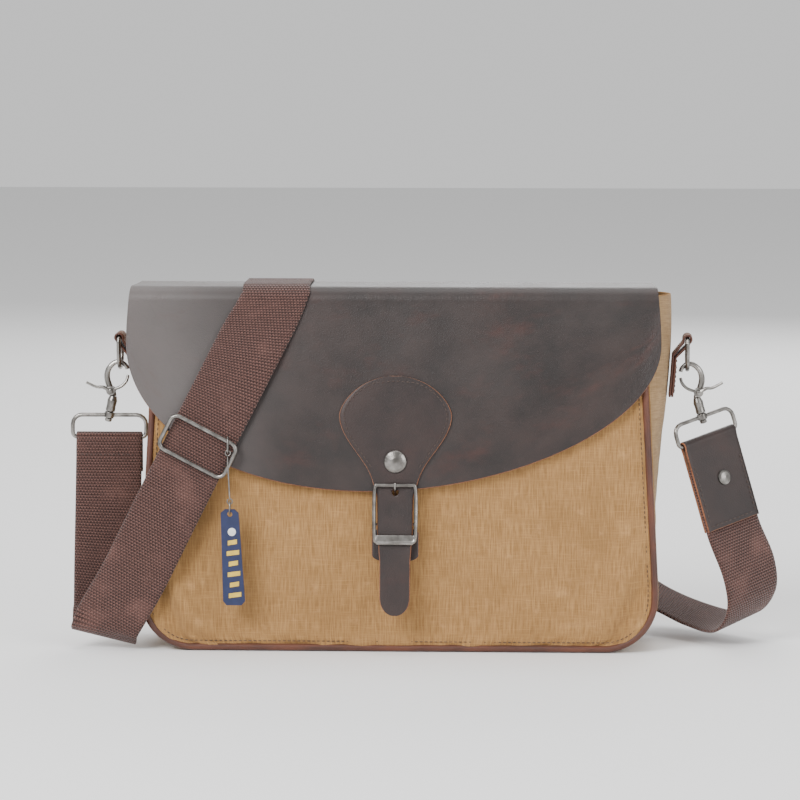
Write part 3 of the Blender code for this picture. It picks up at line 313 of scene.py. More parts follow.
def hook_place(loop_x, tilt):
    """Foot of the hook that hangs from its D-ring."""
    rotation = Matrix.Rotation(tilt, 4, "Y")
    link = DRING_DROP - DRING_WIRE - 0.0026 * 0.80 - 0.0004
    top = Vector((loop_x, 0.0, TAB_LOOP_Z - link))
    base = top - rotation.to_3x3() @ Vector((0, 0, HOOK_LENGTH))
    return Matrix.Translation(base) @ rotation


LEFT_BAR = hook_place(LEFT_LOOP_X, LEFT_TILT).translation - Vector((0, 0, RING_DROP))
RIGHT_RING_PLACE = hook_place(RIGHT_LOOP_X, RIGHT_TILT) @ Matrix.Rotation(RIGHT_TURN, 4, "Z")
END_PLACE = RIGHT_RING_PLACE @ Matrix.Translation((0, 0, -RING_DROP))

# ---------------------------------------------------------------- camera, light and floor

VIEW_WIDTH = 0.584  # width seen at the bag's front
VIEW_TARGET = Vector((0.0015, -0.04, 0.1862))
VIEW_AZIMUTH = math.radians(2.5)
VIEW_ELEVATION = math.radians(6)
VIEW_DISTANCE = 3.2


def linked(name, data):
    """A new object in the scene."""
    obj = bpy.data.objects.new(name, data)
    bpy.context.scene.collection.objects.link(obj)
    return obj


def build_studio():
    toward = Vector((math.sin(VIEW_AZIMUTH) * math.cos(VIEW_ELEVATION),
                     -math.cos(VIEW_AZIMUTH) * math.cos(VIEW_ELEVATION),
                     math.sin(VIEW_ELEVATION)))
    data = bpy.data.cameras.new("camera")
    data.sensor_width = 36
    data.lens = data.sensor_width * VIEW_DISTANCE / VIEW_WIDTH
    camera = linked("camera", data)
    camera.location = VIEW_TARGET + toward * VIEW_DISTANCE
    camera.rotation_euler = (-toward).to_track_quat("-Z", "Y").to_euler()
    bpy.context.scene.camera = camera

    for name, place, size, power in (
            ("key", (-1.3, -2.0, 1.7), 1.2, 78), ("fill", (2.0, -1.6, 1.0), 1.6, 30),
            ("top", (0.0, 0.2, 2.2), 1.6, 24), ("back", (0.4, 2.2, 1.3), 1.6, 26)):
        light = bpy.data.lights.new(name, "AREA")
        light.size = size
        light.energy = power
        lamp = linked(name, light)
        lamp.location = place
        aim = Vector((0, 0, 0.14)) - Vector(place)
        lamp.rotation_euler = aim.to_track_quat("-Z", "Y").to_euler()

    world = bpy.data.worlds.new("sky")
    world.use_nodes = True
    tree = world.node_tree
    glow = tree.nodes["Background"]
    glow.inputs["Color"].default_value = (1.0, 1.0, 1.0, 1.0)
    glow.inputs["Strength"].default_value = SKY
    paper = tree.nodes.new("ShaderNodeBackground")
    paper.inputs["Color"].default_value = (1.0, 1.0, 1.0, 1.0)
    paper.inputs["Strength"].default_value = BACKDROP
    seen = tree.nodes.new("ShaderNodeLightPath")
    either = tree.nodes.new("ShaderNodeMixShader")
    tree.links.new(seen.outputs["Is Camera Ray"], either.inputs[0])
    tree.links.new(glow.outputs[0], either.inputs[1])
    tree.links.new(paper.outputs[0], either.inputs[2])
    tree.links.new(either.outputs[0], tree.nodes["World Output"].inputs["Surface"])
    bpy.context.scene.world = world

    mesh = bpy.data.meshes.new("floor")
    mesh.from_pydata([(-6, -6, 0), (6, -6, 0), (6, 6, 0), (-6, 6, 0)], [], [(0, 1, 2, 3)])
    floor = linked("floor", mesh)
    material = bpy.data.materials.new("floor")
    material.use_nodes = True
    shader = material.node_tree.nodes["Principled BSDF"]
    shader.inputs["Base Color"].default_value = (0.94, 0.94, 0.94, 1)
    shader.inputs["Roughness"].default_value = 0.9
    mesh.materials.append(material)


build_studio()

# ---------------------------------------------------------------- materials


def add(tree, kind, values=(), **properties):
    """Adds a node; values are (input, number or socket) pairs."""
    made = tree.nodes.new(kind)
    for key, value in properties.items():
        setattr(made, key, value)
    for key, value in values:
        if isinstance(value, bpy.types.NodeSocket):
            tree.links.new(value, made.inputs[key])
        else:
            made.inputs[key].default_value = value
    return made


def sum_of(tree, operation, a, b=0.0):
    return add(tree, "ShaderNodeMath", ((0, a), (1, b)), operation=operation).outputs[0]


def mix(tree, factor, a, b, blend="MIX"):
    """Mixes two colours, each a socket or an (r, g, b)."""
    pairs = [(0, factor)]
    for key, value in ((6, a), (7, b)):
        pairs.append((key, value if isinstance(value, bpy.types.NodeSocket) else (*value, 1.0)))
    node = add(tree, "ShaderNodeMix", pairs, data_type="RGBA", blend_type=blend)
    return node.outputs[2]


def ramp(tree, value, low, high):
    """Spreads the band from low to high over 0 to 1, smoothly."""
    node = add(tree, "ShaderNodeMapRange", ((0, value), (1, low), (2, high), (3, 0.0), (4, 1.0)))
    node.interpolation_type = "SMOOTHSTEP"
    return node.outputs[0]


def noise_of(tree, vector, scale, detail=3.0, stretch=(1, 1, 1), rough=0.5):
    moved = add(tree, "ShaderNodeMapping", (("Vector", vector), ("Scale", stretch)))
    node = add(tree, "ShaderNodeTexNoise", (("Vector", moved.outputs[0]), ("Scale", scale),
                                            ("Detail", detail), ("Roughness", rough)))
    return node.outputs[0]


def wave(tree, coordinate, pitch, wobble=0.0):
    """A 0 to 1 wave along a coordinate in metres; wobble bends it."""
    turns = sum_of(tree, "MULTIPLY", coordinate, 2 * math.pi / pitch)
    turned = sum_of(tree, "ADD", turns, wobble)
    height = sum_of(tree, "SINE", turned)
    return add(tree, "ShaderNodeMath", ((0, height), (1, 0.5), (2, 0.5)),
               operation="MULTIPLY_ADD").outputs[0]


def bump(tree, height, distance, strength=1.0, under=None):
    pairs = [("Height", height), ("Distance", distance), ("Strength", strength)]
    if under is not None:
        pairs.append(("Normal", under))
    return add(tree, "ShaderNodeBump", pairs).outputs[0]


def start_material(name, coat=0.0, sheen=0.0, metallic=0.0, specular=0.5):
    """A new material with its uniform values set, and its cloth and object coordinates."""
    material = bpy.data.materials.new(name)
    material.use_nodes = True
    tree = material.node_tree
    shader = tree.nodes["Principled BSDF"]
    shader.inputs["Coat Weight"].default_value = coat
    shader.inputs["Coat Roughness"].default_value = 0.35
    shader.inputs["Sheen Weight"].default_value = sheen
    shader.inputs["Sheen Roughness"].default_value = 0.5
    shader.inputs["Metallic"].default_value = metallic
    shader.inputs["Specular IOR Level"].default_value = specular
    flat = add(tree, "ShaderNodeUVMap", uv_map="metres").outputs[0]
    solid = add(tree, "ShaderNodeTexCoord").outputs["Object"]
    return material, tree, shader, flat, solid


def finish_material(tree, shader, colour, roughness, normal):
    tree.links.new(colour, shader.inputs["Base Color"])
    tree.links.new(roughness, shader.inputs["Roughness"])
    if normal is not None:
        tree.links.new(normal, shader.inputs["Normal"])


def spread(tree, value, low, high):
    """Roughness or another number from low to high as value goes from 0 to 1."""
    node = add(tree, "ShaderNodeMapRange", ((0, value), (1, 0.0), (2, 1.0), (3, low), (4, high)))
    return node.outputs[0]


def canvas_material(name, dark, light, warp=0.00085):
    material, tree, shader, flat, _ = start_material(name, sheen=0.10, specular=0.25)
    split = add(tree, "ShaderNodeSeparateXYZ", ((0, flat),))
    slub_up = noise_of(tree, flat, 1.0, 3.0, (1150, 70, 1))
    slub_across = noise_of(tree, flat, 1.0, 3.0, (60, 1000, 1))
    wobble = sum_of(tree, "MULTIPLY", noise_of(tree, flat, 240), 3.0)
    warp_wave = wave(tree, split.outputs[0], warp, wobble)
    weft_wave = wave(tree, split.outputs[1], warp * 1.1, wobble)
    weave = sum_of(tree, "MULTIPLY", warp_wave, weft_wave)
    blotch = noise_of(tree, flat, 16, 4.0, rough=0.6)
    wax = noise_of(tree, flat, 70, 5.0, rough=0.65)
    colour = mix(tree, ramp(tree, slub_up, 0.30, 0.72), dark, light)
    colour = mix(tree, sum_of(tree, "MULTIPLY", ramp(tree, slub_across, 0.45, 0.8), 0.38),
                 colour, tuple(c * 1.35 for c in light))
    colour = mix(tree, sum_of(tree, "MULTIPLY", ramp(tree, weave, 0.45, 0.0), 0.35),
                 colour, tuple(c * 0.55 for c in dark))
    colour = mix(tree, sum_of(tree, "MULTIPLY", ramp(tree, blotch, 0.42, 0.75), 0.40),
                 colour, tuple(c * 0.72 for c in dark))
    colour = mix(tree, sum_of(tree, "MULTIPLY", ramp(tree, wax, 0.55, 0.8), 0.30),
                 colour, tuple(min(1.0, c * 1.5 + 0.03) for c in light))
    normal = bump(tree, wax, 0.0006, 0.35)
    normal = bump(tree, slub_up, 0.0004, 0.6, normal)
    normal = bump(tree, weave, 0.00035, 0.8, normal)
    finish_material(tree, shader, colour, spread(tree, wax, 0.86, 0.62), normal)
    return material


def leather_material(name, dark, light, scuff, rough=(0.36, 0.58), grain=0.0016, haze=0.35,
                     painted_sheen=None):
    """Oiled leather: mottled colour, pull-up haze, fine grain, creases and reddish scuffs.

    The last argument, (from, to, strength), paints a sheen: a paler grey stretch between two
    places across the hide, standing in for light on the leather.
    """
    material, tree, shader, flat, _ = start_material(name, coat=0.06, sheen=0.04, specular=0.5)
    mottle = noise_of(tree, flat, 22, 5.0, rough=0.6)
    broad = noise_of(tree, flat, 7, 2.0)
    streak = noise_of(tree, flat, 1.0, 4.0, (17, 26, 1), 0.65)
    pores = add(tree, "ShaderNodeTexVoronoi", (("Vector", flat), ("Scale", 1 / grain)))
    pores.feature = "DISTANCE_TO_EDGE"
    creases = add(tree, "ShaderNodeTexVoronoi",
                  (("Vector", mix(tree, 0.06, flat, noise_of(tree, flat, 60))), ("Scale", 55.0)))
    creases.feature = "DISTANCE_TO_EDGE"
    colour = mix(tree, ramp(tree, mottle, 0.30, 0.72), dark, light)
    hazed = sum_of(tree, "MULTIPLY", ramp(tree, broad, 0.40, 0.68), haze)
    grey = tuple(sum(light) / 3 * k for k in (1.60, 1.42, 1.36))
    colour = mix(tree, hazed, colour, grey)
    # Painted sheen: a paler grey band across part of the hide's width stands in for light on the
    # leather.
    if painted_sheen is not None:
        across = add(tree, "ShaderNodeSeparateXYZ", ((0, flat),)).outputs[0]
        drift = sum_of(tree, "MULTIPLY", broad, 0.08)
        place = sum_of(tree, "ADD", across, drift)
        sheen_share = sum_of(tree, "MULTIPLY", ramp(tree, place, painted_sheen[0], painted_sheen[1]), painted_sheen[2])
        colour = mix(tree, sheen_share, colour, (0.135, 0.118, 0.114))
    scuffed = sum_of(tree, "MULTIPLY", ramp(tree, streak, 0.50, 0.80), 0.45)
    colour = mix(tree, scuffed, colour, scuff)
    crease_line = ramp(tree, creases.outputs["Distance"], 0.05, 0.0)
    colour = mix(tree, sum_of(tree, "MULTIPLY", crease_line, 0.05), colour,
                 tuple(c * 0.5 for c in dark))
    pore_height = ramp(tree, pores.outputs["Distance"], 0.0, 0.28)
    normal = bump(tree, mottle, 0.0018, 0.40)
    normal = bump(tree, crease_line, -0.00012, 0.14, normal)
    normal = bump(tree, pore_height, 0.00010, 0.55, normal)
    finish_material(tree, shader, colour, spread(tree, mottle, *rough), normal)
    return material


def raw_edge_material(name, dark, light):
    """Cut leather edge: russet fibres in layers."""
    material, tree, shader, _, solid = start_material(name, sheen=0.1, specular=0.3)
    fibre = noise_of(tree, solid, 900, 3.0)
    patch = noise_of(tree, solid, 90, 3.0)
    colour = mix(tree, ramp(tree, fibre, 0.3, 0.7), dark, light)
    colour = mix(tree, sum_of(tree, "MULTIPLY", ramp(tree, patch, 0.5, 0.7), 0.5), colour,
                 tuple(c * 0.5 for c in dark))
    finish_material(tree, shader, colour, spread(tree, fibre, 0.6, 0.85),
                    bump(tree, fibre, 0.0003, 0.6))
    return material


def webbing_material(name, dark, light):
    """Coarse basket weave: rows of short raised pairs of yarns, each row half a step over."""
    material, tree, shader, flat, _ = start_material(name, sheen=0.22, specular=0.2)
    split = add(tree, "ShaderNodeSeparateXYZ", ((0, flat),))
    fuzz = noise_of(tree, flat, 900, 3.0)
    wobble = sum_of(tree, "MULTIPLY", noise_of(tree, flat, 160), 1.3)
    across, along = split.outputs[0], split.outputs[1]
    row = wave(tree, along, 0.0021, wobble)
    side = wave(tree, along, 0.0042)
    step = sum_of(tree, "MULTIPLY", ramp(tree, side, 0.45, 0.55), math.pi)
    yarn = wave(tree, across, 0.0023, sum_of(tree, "ADD", step, wobble))
    weave = sum_of(tree, "MULTIPLY", sum_of(tree, "POWER", row, 0.6),
                   sum_of(tree, "POWER", yarn, 0.6))
    tone = noise_of(tree, flat, 1.0, 3.0, (130, 420, 1))
    broad = noise_of(tree, flat, 30, 3.0)
    colour = mix(tree, ramp(tree, weave, 0.1, 0.75), tuple(c * 0.42 for c in dark), light)
    colour = mix(tree, sum_of(tree, "MULTIPLY", ramp(tree, tone, 0.35, 0.75), 0.5), colour, dark)
    colour = mix(tree, sum_of(tree, "MULTIPLY", ramp(tree, broad, 0.5, 0.8), 0.30), colour,
                 tuple(c * 1.5 for c in light))
    colour = mix(tree, sum_of(tree, "MULTIPLY", ramp(tree, fuzz, 0.55, 0.8), 0.35), colour,
                 tuple(min(1.0, c * 2.0) for c in light))
    normal = bump(tree, weave, 0.0008, 0.9)
    normal = bump(tree, fuzz, 0.00025, 0.5, normal)
    finish_material(tree, shader, colour, spread(tree, fuzz, 0.95, 0.75), normal)
    return material


def metal_material(name, dark, light, rough=(0.20, 0.42)):
    """Antique nickel: darkened in patches, rubbed bright on others, faintly pitted."""
    material, tree, shader, _, solid = start_material(name, metallic=1.0)
    patina = noise_of(tree, solid, 130, 3.0, rough=0.5)
    fine = noise_of(tree, solid, 1400, 2.0)
    colour = mix(tree, ramp(tree, patina, 0.25, 0.75), dark, light)
    finish_material(tree, shader, colour, spread(tree, patina, *reversed(rough)),
                    bump(tree, fine, 0.00008, 0.15))
    return material


def thread_material(name, tone):
    material, tree, shader, _, solid = start_material(name, sheen=0.15, specular=0.3)
    twist = noise_of(tree, solid, 2200, 2.0)
    colour = mix(tree, ramp(tree, twist, 0.3, 0.7), tuple(c * 0.55 for c in tone), tone)
    finish_material(tree, shader, colour, spread(tree, twist, 0.6, 0.85),
                    bump(tree, twist, 0.0002, 0.5))
    return material


def rubber_material(name, tone):
    material, tree, shader, _, solid = start_material(name, specular=0.4)
    mottle = noise_of(tree, solid, 180, 4.0)
    grain = noise_of(tree, solid, 2600, 2.0)
    colour = mix(tree, ramp(tree, mottle, 0.35, 0.7), tuple(c * 0.82 for c in tone), tone)
    finish_material(tree, shader, colour, spread(tree, mottle, 0.42, 0.60),
                    bump(tree, grain, 0.00006, 0.4))
    return material


CANVAS_SKIN = canvas_material("waxed_canvas", (0.300, 0.155, 0.052), (0.500, 0.280, 0.104))
CANVAS_BACK = canvas_material("canvas_inner", (0.34, 0.21, 0.10), (0.50, 0.33, 0.17))
CANVAS_SKINS = [CANVAS_SKIN, CANVAS_SKIN, CANVAS_BACK]
LINING_CLOTH = canvas_material("lining_cotton", (0.19, 0.15, 0.11), (0.30, 0.245, 0.19), 0.0006)
# The flap's skin gets a painted sheen, a paler grey band over its left part.
FLAP_SKIN = leather_material("flap_leather_skin", (0.0085, 0.0042, 0.0034),
                             (0.0260, 0.0135, 0.0110), (0.075, 0.018, 0.011),
                             painted_sheen=(-0.03, -0.15, 0.62))
TRIM_SKIN = leather_material("trim_leather_skin", (0.0105, 0.0048, 0.0040),
                             (0.0270, 0.0125, 0.0100), (0.060, 0.018, 0.012), haze=0.12)
PIPING_SKIN = leather_material("piping_leather_skin", (0.048, 0.013, 0.0065),
                               (0.130, 0.038, 0.016), (0.030, 0.011, 0.008), haze=0.0)
SUEDE = canvas_material("leather_flesh", (0.16, 0.075, 0.040), (0.26, 0.13, 0.075), 0.0005)
RAW_EDGE = raw_edge_material("leather_cut_edge", (0.17, 0.058, 0.026), (0.34, 0.135, 0.060))
WEBBING_CLOTH = webbing_material("cotton_webbing", (0.056, 0.0255, 0.0205),
                                 (0.170, 0.082, 0.067))
NICKEL = metal_material("antique_nickel_plate", (0.130, 0.121, 0.112), (0.340, 0.325, 0.305))
DARK_THREAD = thread_material("dark_thread", (0.075, 0.050, 0.042))
TAN_THREAD = thread_material("tan_thread", (0.42, 0.27, 0.13))
NAVY = rubber_material("navy_rubber", (0.020, 0.028, 0.085))
YELLOW = rubber_material("yellow_rubber", (0.78, 0.53, 0.07))
WHITE = rubber_material("white_rubber", (0.80, 0.80, 0.78))

# ---------------------------------------------------------------- mesh builders


def new_object(name, verts, faces, materials, face_slots=None, uvs=None):
    mesh = bpy.data.meshes.new(name)
    mesh.from_pydata([tuple(v) for v in verts], [], faces)
    for material in materials:
        mesh.materials.append(material)
    if face_slots is not None:
        mesh.polygons.foreach_set("material_index", face_slots)
    layer = mesh.uv_layers.new(name="metres")
    if uvs is not None:
        corners = [uvs[loop.vertex_index] for loop in mesh.loops]
        layer.data.foreach_set("uv", [c for uv in corners for c in uv])
    mesh.shade_smooth()
    obj = linked(name, mesh)
    return obj


def grid_of(place, columns, rows):
    """Rows of points from place(u, v), u from -1 to 1 and v from 0 to 1."""
    return [[Vector(place(2 * i / columns - 1, j / rows)) for i in range(columns + 1)]
            for j in range(rows + 1)]


def grid_normals(grid):
    rows, columns = len(grid), len(grid[0])
    out = []
    for j in range(rows):
        line = []
        for i in range(columns):
            du = grid[j][min(i + 1, columns - 1)] - grid[j][max(i - 1, 0)]
            dv = grid[min(j + 1, rows - 1)][i] - grid[max(j - 1, 0)][i]
            normal = du.cross(dv)
            line.append(normal.normalized() if normal.length > 1e-12 else None)
        out.append(line)
    for j in range(rows):
        for i in range(columns):
            if out[j][i] is None:
                near = out[j - 1] if j else out[min(j + 1, rows - 1)]
                out[j][i] = near[i] or Vector((0, -1, 0))
    return out


def thick_sheet(name, grid, thickness, skins, side=1, offset=(0.0, 0.0), cut_start=False,
                cut_end=False):
    """A closed sheet about a grid of points; skins are the face, edge and back materials.

    side picks which way the face looks.  The face and back meet in a rounded edge, except
    where a cut start or end butts against the next piece.  The sheet's own coordinates run
    in metres across and along it.
    """
    rows, columns = len(grid) - 1, len(grid[0]) - 1
    normals = grid_normals(grid)
    middle = columns // 2
    along = [0.0]
    for a, b in zip(grid, grid[1:]):
        along.append(along[-1] + (b[middle] - a[middle]).length)
    verts, uvs = [], []
    half = thickness / 2
    inset = half * 0.55
    for sign in (1, -1):
        for j in range(rows + 1):
            lengths = [0.0]
            for a, b in zip(grid[j], grid[j][1:]):
                lengths.append(lengths[-1] + (b - a).length)
            for i in range(columns + 1):
                point = grid[j][i] + normals[j][i] * (half * sign * side)
                near_i = 1 if i == 0 else (columns - 1 if i == columns else i)
                near_j = 1 if j == 0 else (rows - 1 if j == rows else j)
                if (cut_start and j == 0) or (cut_end and j == rows):
                    near_j = j
                if near_i != i or near_j != j:
                    inward = grid[near_j][near_i] - grid[j][i]
                    if inward.length > 1e-9:
                        point = point + inward.normalized() * min(inset, inward.length * 0.6)
                verts.append(point)
                uvs.append((lengths[i] - lengths[middle] + offset[0], along[j] + offset[1]))
    width = columns + 1
    layer = width * (rows + 1)
    faces, slots = [], []
    for j in range(rows):
        for i in range(columns):
            a, b = j * width + i, j * width + i + 1
            c, d = b + width, a + width
            front = (a, b, c, d) if side > 0 else (d, c, b, a)
            faces.append(front)
            slots.append(0)
            faces.append(tuple(k + layer for k in reversed(front)))
            slots.append(2)
    rim = list(range(width))
    rim += [j * width + columns for j in range(1, rows + 1)]
    rim += [rows * width + i for i in range(columns - 1, -1, -1)]
    rim += [j * width for j in range(rows - 1, 0, -1)]
    base = len(verts)
    for k in rim:
        j, i = divmod(k, width)
        verts.append(grid[j][i])
        uvs.append(uvs[k])
    count = len(rim)
    for k in range(count):
        a, b = rim[k], rim[(k + 1) % count]
        m, n = base + k, base + (k + 1) % count
        pairs = ((b, a, m, n), (n, m, a + layer, b + layer))
        for face in pairs:
            faces.append(face if side > 0 else tuple(reversed(face)))
            slots.append(1)
    return new_object(name, verts, faces, skins, slots, uvs)


def round_tube(name, points, radius, material, closed=False, sides=12, squash=1.0, up=None):
    """A round bar along a path, with capped ends; radius is a number or radius(share)."""
    count = len(points)
    verts, faces, uvs = [], [], []
    frame_up = Vector(up) if up else Vector((0, 1, 0))
    run = 0.0
    for k, point in enumerate(points):
        before = points[k - 1] if (k or closed) else point
        after = points[(k + 1) % count] if (k < count - 1 or closed) else point
        tangent = (after - before).normalized()
        frame_up = frame_up - tangent * frame_up.dot(tangent)
        if frame_up.length < 1e-6:
            frame_up = tangent.orthogonal()
        frame_up.normalize()
        across = tangent.cross(frame_up)
        size = radius(k / max(count - 1, 1)) if callable(radius) else radius
        run += (point - points[k - 1]).length if k else 0.0
        for s in range(sides):
            a = 2 * math.pi * s / sides
            verts.append(point + frame_up * (size * math.cos(a) * squash)
                         + across * (size * math.sin(a)))
            uvs.append((size * a, run))
    for k in range(count if closed else count - 1):
        for s in range(sides):
            a = k * sides + s
            b = k * sides + (s + 1) % sides
            c = ((k + 1) % count) * sides
            faces.append((a, b, c + (s + 1) % sides, c + s))
    if not closed:
        faces.append(tuple(reversed(range(sides))))
        faces.append(tuple(range((count - 1) * sides, count * sides)))
    return new_object(name, verts, faces, [material], None, uvs)


def stitches(name, runs, material, pitch=0.0042, length=0.0031, radius=0.00042):
    """Sewn stitches along runs, each a list of (point, outward normal)."""
    profile = ((0.0, 0.35, -0.6), (0.2, 0.9, 0.35), (0.5, 1.0, 0.62), (0.8, 0.9, 0.35),
               (1.0, 0.35, -0.6))
    sides = 6
    verts, faces = [], []
    for run in runs:
        points = [Vector(p) for p, _ in run]
        normals = [Vector(n) for _, n in run]
        lengths = [0.0]
        for a, b in zip(points, points[1:]):
            lengths.append(lengths[-1] + (b - a).length)

        def at(distance):
            i = 0
            while i < len(points) - 2 and lengths[i + 1] < distance:
                i += 1
            share = (distance - lengths[i]) / max(lengths[i + 1] - lengths[i], 1e-9)
            return points[i].lerp(points[i + 1], share), normals[i].lerp(normals[i + 1], share)

        for k in range(int(lengths[-1] / pitch)):
            start = k * pitch + (pitch - length) / 2
            first = len(verts)
            for share, size, lift in profile:
                centre, normal = at(start + length * share)
                ahead, _ = at(start + length * share + 0.0002)
                behind, _ = at(start + length * share - 0.0002)
                normal = normal.normalized()
                across = (ahead - behind).normalized().cross(normal)
                centre = centre + normal * (radius * lift)
                for s in range(sides):
                    a = 2 * math.pi * s / sides
                    verts.append(centre + normal * (radius * size * math.cos(a))
                                 + across * (radius * size * math.sin(a)))
            for ring in range(len(profile) - 1):
                for s in range(sides):
                    a = first + ring * sides + s
                    b = first + ring * sides + (s + 1) % sides
                    faces.append((b, a, a + sides, b + sides))
            faces.append(tuple(first + s for s in range(sides)))
            last = first + (len(profile) - 1) * sides
            faces.append(tuple(last + s for s in reversed(range(sides))))
    return new_object(name, verts, faces, [material])


def applied(obj):
    """Applies an object's modifiers."""
    graph = bpy.context.evaluated_depsgraph_get()
    mesh = bpy.data.meshes.new_from_object(obj.evaluated_get(graph))
    old = obj.data
    obj.modifiers.clear()
    obj.data = mesh
    bpy.data.meshes.remove(old)
    return obj


def subdivided(obj, levels=1):
    modifier = obj.modifiers.new("smooth", "SUBSURF")
    modifier.levels = levels
    modifier.render_levels = levels
    modifier.boundary_smooth = "PRESERVE_CORNERS"
    return applied(obj)


def crumple(grid, pinned, grow, cap, frames=22, stiffness=12.0, bend=0.6):
    """Lets cloth that is a little too large for its seams buckle into soft wrinkles."""
    width = len(grid[0])
    points = [p for row in grid for p in row]
    faces = [(j * width + i, j * width + i + 1, (j + 1) * width + i + 1, (j + 1) * width + i)
             for j in range(len(grid) - 1) for i in range(width - 1)]
    mesh = bpy.data.meshes.new("crumple")
    mesh.from_pydata([tuple(p) for p in points], [], faces)
    obj = linked("crumple", mesh)
    group = obj.vertex_groups.new(name="sewn")
    for k in range(len(points)):
        hold = pinned(k % width, k // width)
        if hold > 0:
            group.add([k], hold, "REPLACE")
    cloth = obj.modifiers.new("Cloth", "CLOTH")
    settings = cloth.settings
    settings.quality = 7
    settings.mass = 0.15
    settings.tension_stiffness = stiffness
    settings.compression_stiffness = stiffness
    settings.shear_stiffness = stiffness / 2
    settings.bending_stiffness = bend
    settings.vertex_group_mass = "sewn"
    settings.shrink_min = -grow
    settings.effector_weights.gravity = 0.4
    cloth.collision_settings.use_collision = False
    scene = bpy.context.scene
    scene.frame_start, scene.frame_end = 1, frames
    cloth.point_cache.frame_start, cloth.point_cache.frame_end = 1, frames
    for k in range(1, frames + 1):
        scene.frame_set(k)
    result = obj.evaluated_get(bpy.context.evaluated_depsgraph_get())
    moved = [v.co.copy() for v in result.data.vertices]
    scene.frame_set(1)
    bpy.data.objects.remove(obj, do_unlink=True)
    out = []
    for k, (old, new) in enumerate(zip(points, moved)):
        step = new - old
        most = cap(old)
        if step.length > most:
            step = step.normalized() * most
        out.append(old + step)
    return [out[j * width:(j + 1) * width] for j in range(len(grid))]


def settle(obj, body, slot, *nodes):
    """Rides the piece on its body and hides the CAD nodes it stands in for."""
    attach(obj, body)
    declare(obj, slot, *nodes)
    return obj


def declare(obj, slot, *nodes):
    if nodes:
        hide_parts(*nodes)


# ---------------------------------------------------------------- canvas body


SEAM_INSET = 0.0012  # the cloth's middle stops this far inside the seam


def front_cap(side):
    """How far a wrinkle may move: little under the flap, more on the open canvas."""
    def cap(point):
        shaded = smoothstep((point.z - 0.10) / 0.05) if side < 0 else 0.3
        near_snap = math.exp(-((point.x - TAB_X) / 0.03) ** 2 - ((point.z - 0.075) / 0.05) ** 2)
        if side > 0:
            near_snap = 0.0
        return lerp(0.0042, 0.0013, shaded) * (1 - 0.8 * near_snap)
    return cap


def build_panel(name, side, node):
    low = PIPING_Z + SEAM_INSET
    columns, rows = 84, 60

    def place(u, v):
        z = lerp(low, BODY_HEIGHT, v**1.2)
        x = u * outline_half_width(z, -SEAM_INSET)
        return x, side * (half_depth(z) + bulge(x, z)), z

    def sewn(i, j):
        return 1.0 if i in (0, columns) or j in (0, rows) else 0.0

    grid = crumple(grid_of(place, columns, rows), sewn, 0.045, front_cap(side))
    for j, row in enumerate(grid):
        for i, p in enumerate(row):
            edge = min(seam_half_width(p.z) - abs(p.x), p.z)
            if p.z < CORNER_RADIUS:
                edge = min(edge, outline_half_width(p.z, 0.0) - abs(p.x))
            pucker = math.exp(-max(edge, 0.0) / 0.012)
            lane = p.x if p.z < 0.03 else p.z
            gather = ripple(lane, 0.0, 95, 3.0 * side) * 0.0011 * pucker
            open_cloth = 1 - 0.6 * smoothstep((p.z - 0.10) / 0.05)
            drift = ripple(p.x + 0.5 * p.z, p.z * 0.5, 19, 5.0 + side) * 0.0020 * open_cloth
            fold = ripple(p.x - p.z, p.z * 0.8, 44, 8.0 + side) * 0.0008 * open_cloth
            fade = smoothstep(edge / 0.006)
            p.y += side * (gather + drift + fold) * fade
    cloth_shift = (0.0, 0.37 if side > 0 else 0.0)
    panel = thick_sheet(name, grid, CANVAS, CANVAS_SKINS, -side, cloth_shift)
    settle(subdivided(panel), "bag", "canvas", node)

    def hem(z):
        line = []
        for k in range(60):
            x = lerp(-1, 1, k / 59) * (seam_half_width(z) - 0.006)
            line.append(((x, side * (half_depth(z) + bulge(x, z) + CANVAS / 2 + 0.0003), z),
                         (0, side, 0)))
        return line
    settle(stitches(name + "_hem_stitches", [hem(0.2505)], TAN_THREAD), "bag", "canvas")


def build_gusset():
    stations = outline_stations(SHELL_OUTSET, BODY_HEIGHT)
    rows, columns = 18, len(stations) - 1

    def place(u, v):
        point, out = stations[round((u + 1) / 2 * columns)]
        across = 2 * v - 1
        swell = gusset_bulge(point.x, point.y) * max(0.0, 1 - across**2) ** 0.8
        fade = 1 - across**2
        lane = point.y if point.y > 0.03 else point.x
        soft = ripple(lane, across * 0.012, 38, 9.0 + math.copysign(1, point.x)) * 0.0016
        soft += ripple(lane, across * 0.03, 110, 4.0) * 0.0006
        up = smoothstep((point.y - 0.02) / 0.05)
        held = smoothstep((point.y - 0.15) / 0.03)
        spot = point + out * (swell + lerp(soft - 0.0009, -0.0002, held) * fade * up)
        return spot.x, (half_depth(point.y) - SEAM_INSET) * across, spot.y

    grid = grid_of(place, columns, rows)
    skin = thick_sheet("canvas_gusset", grid, CANVAS, CANVAS_SKINS, 1, (0.0, 0.9))
    settle(subdivided(skin), "bag", "canvas", "gusset")


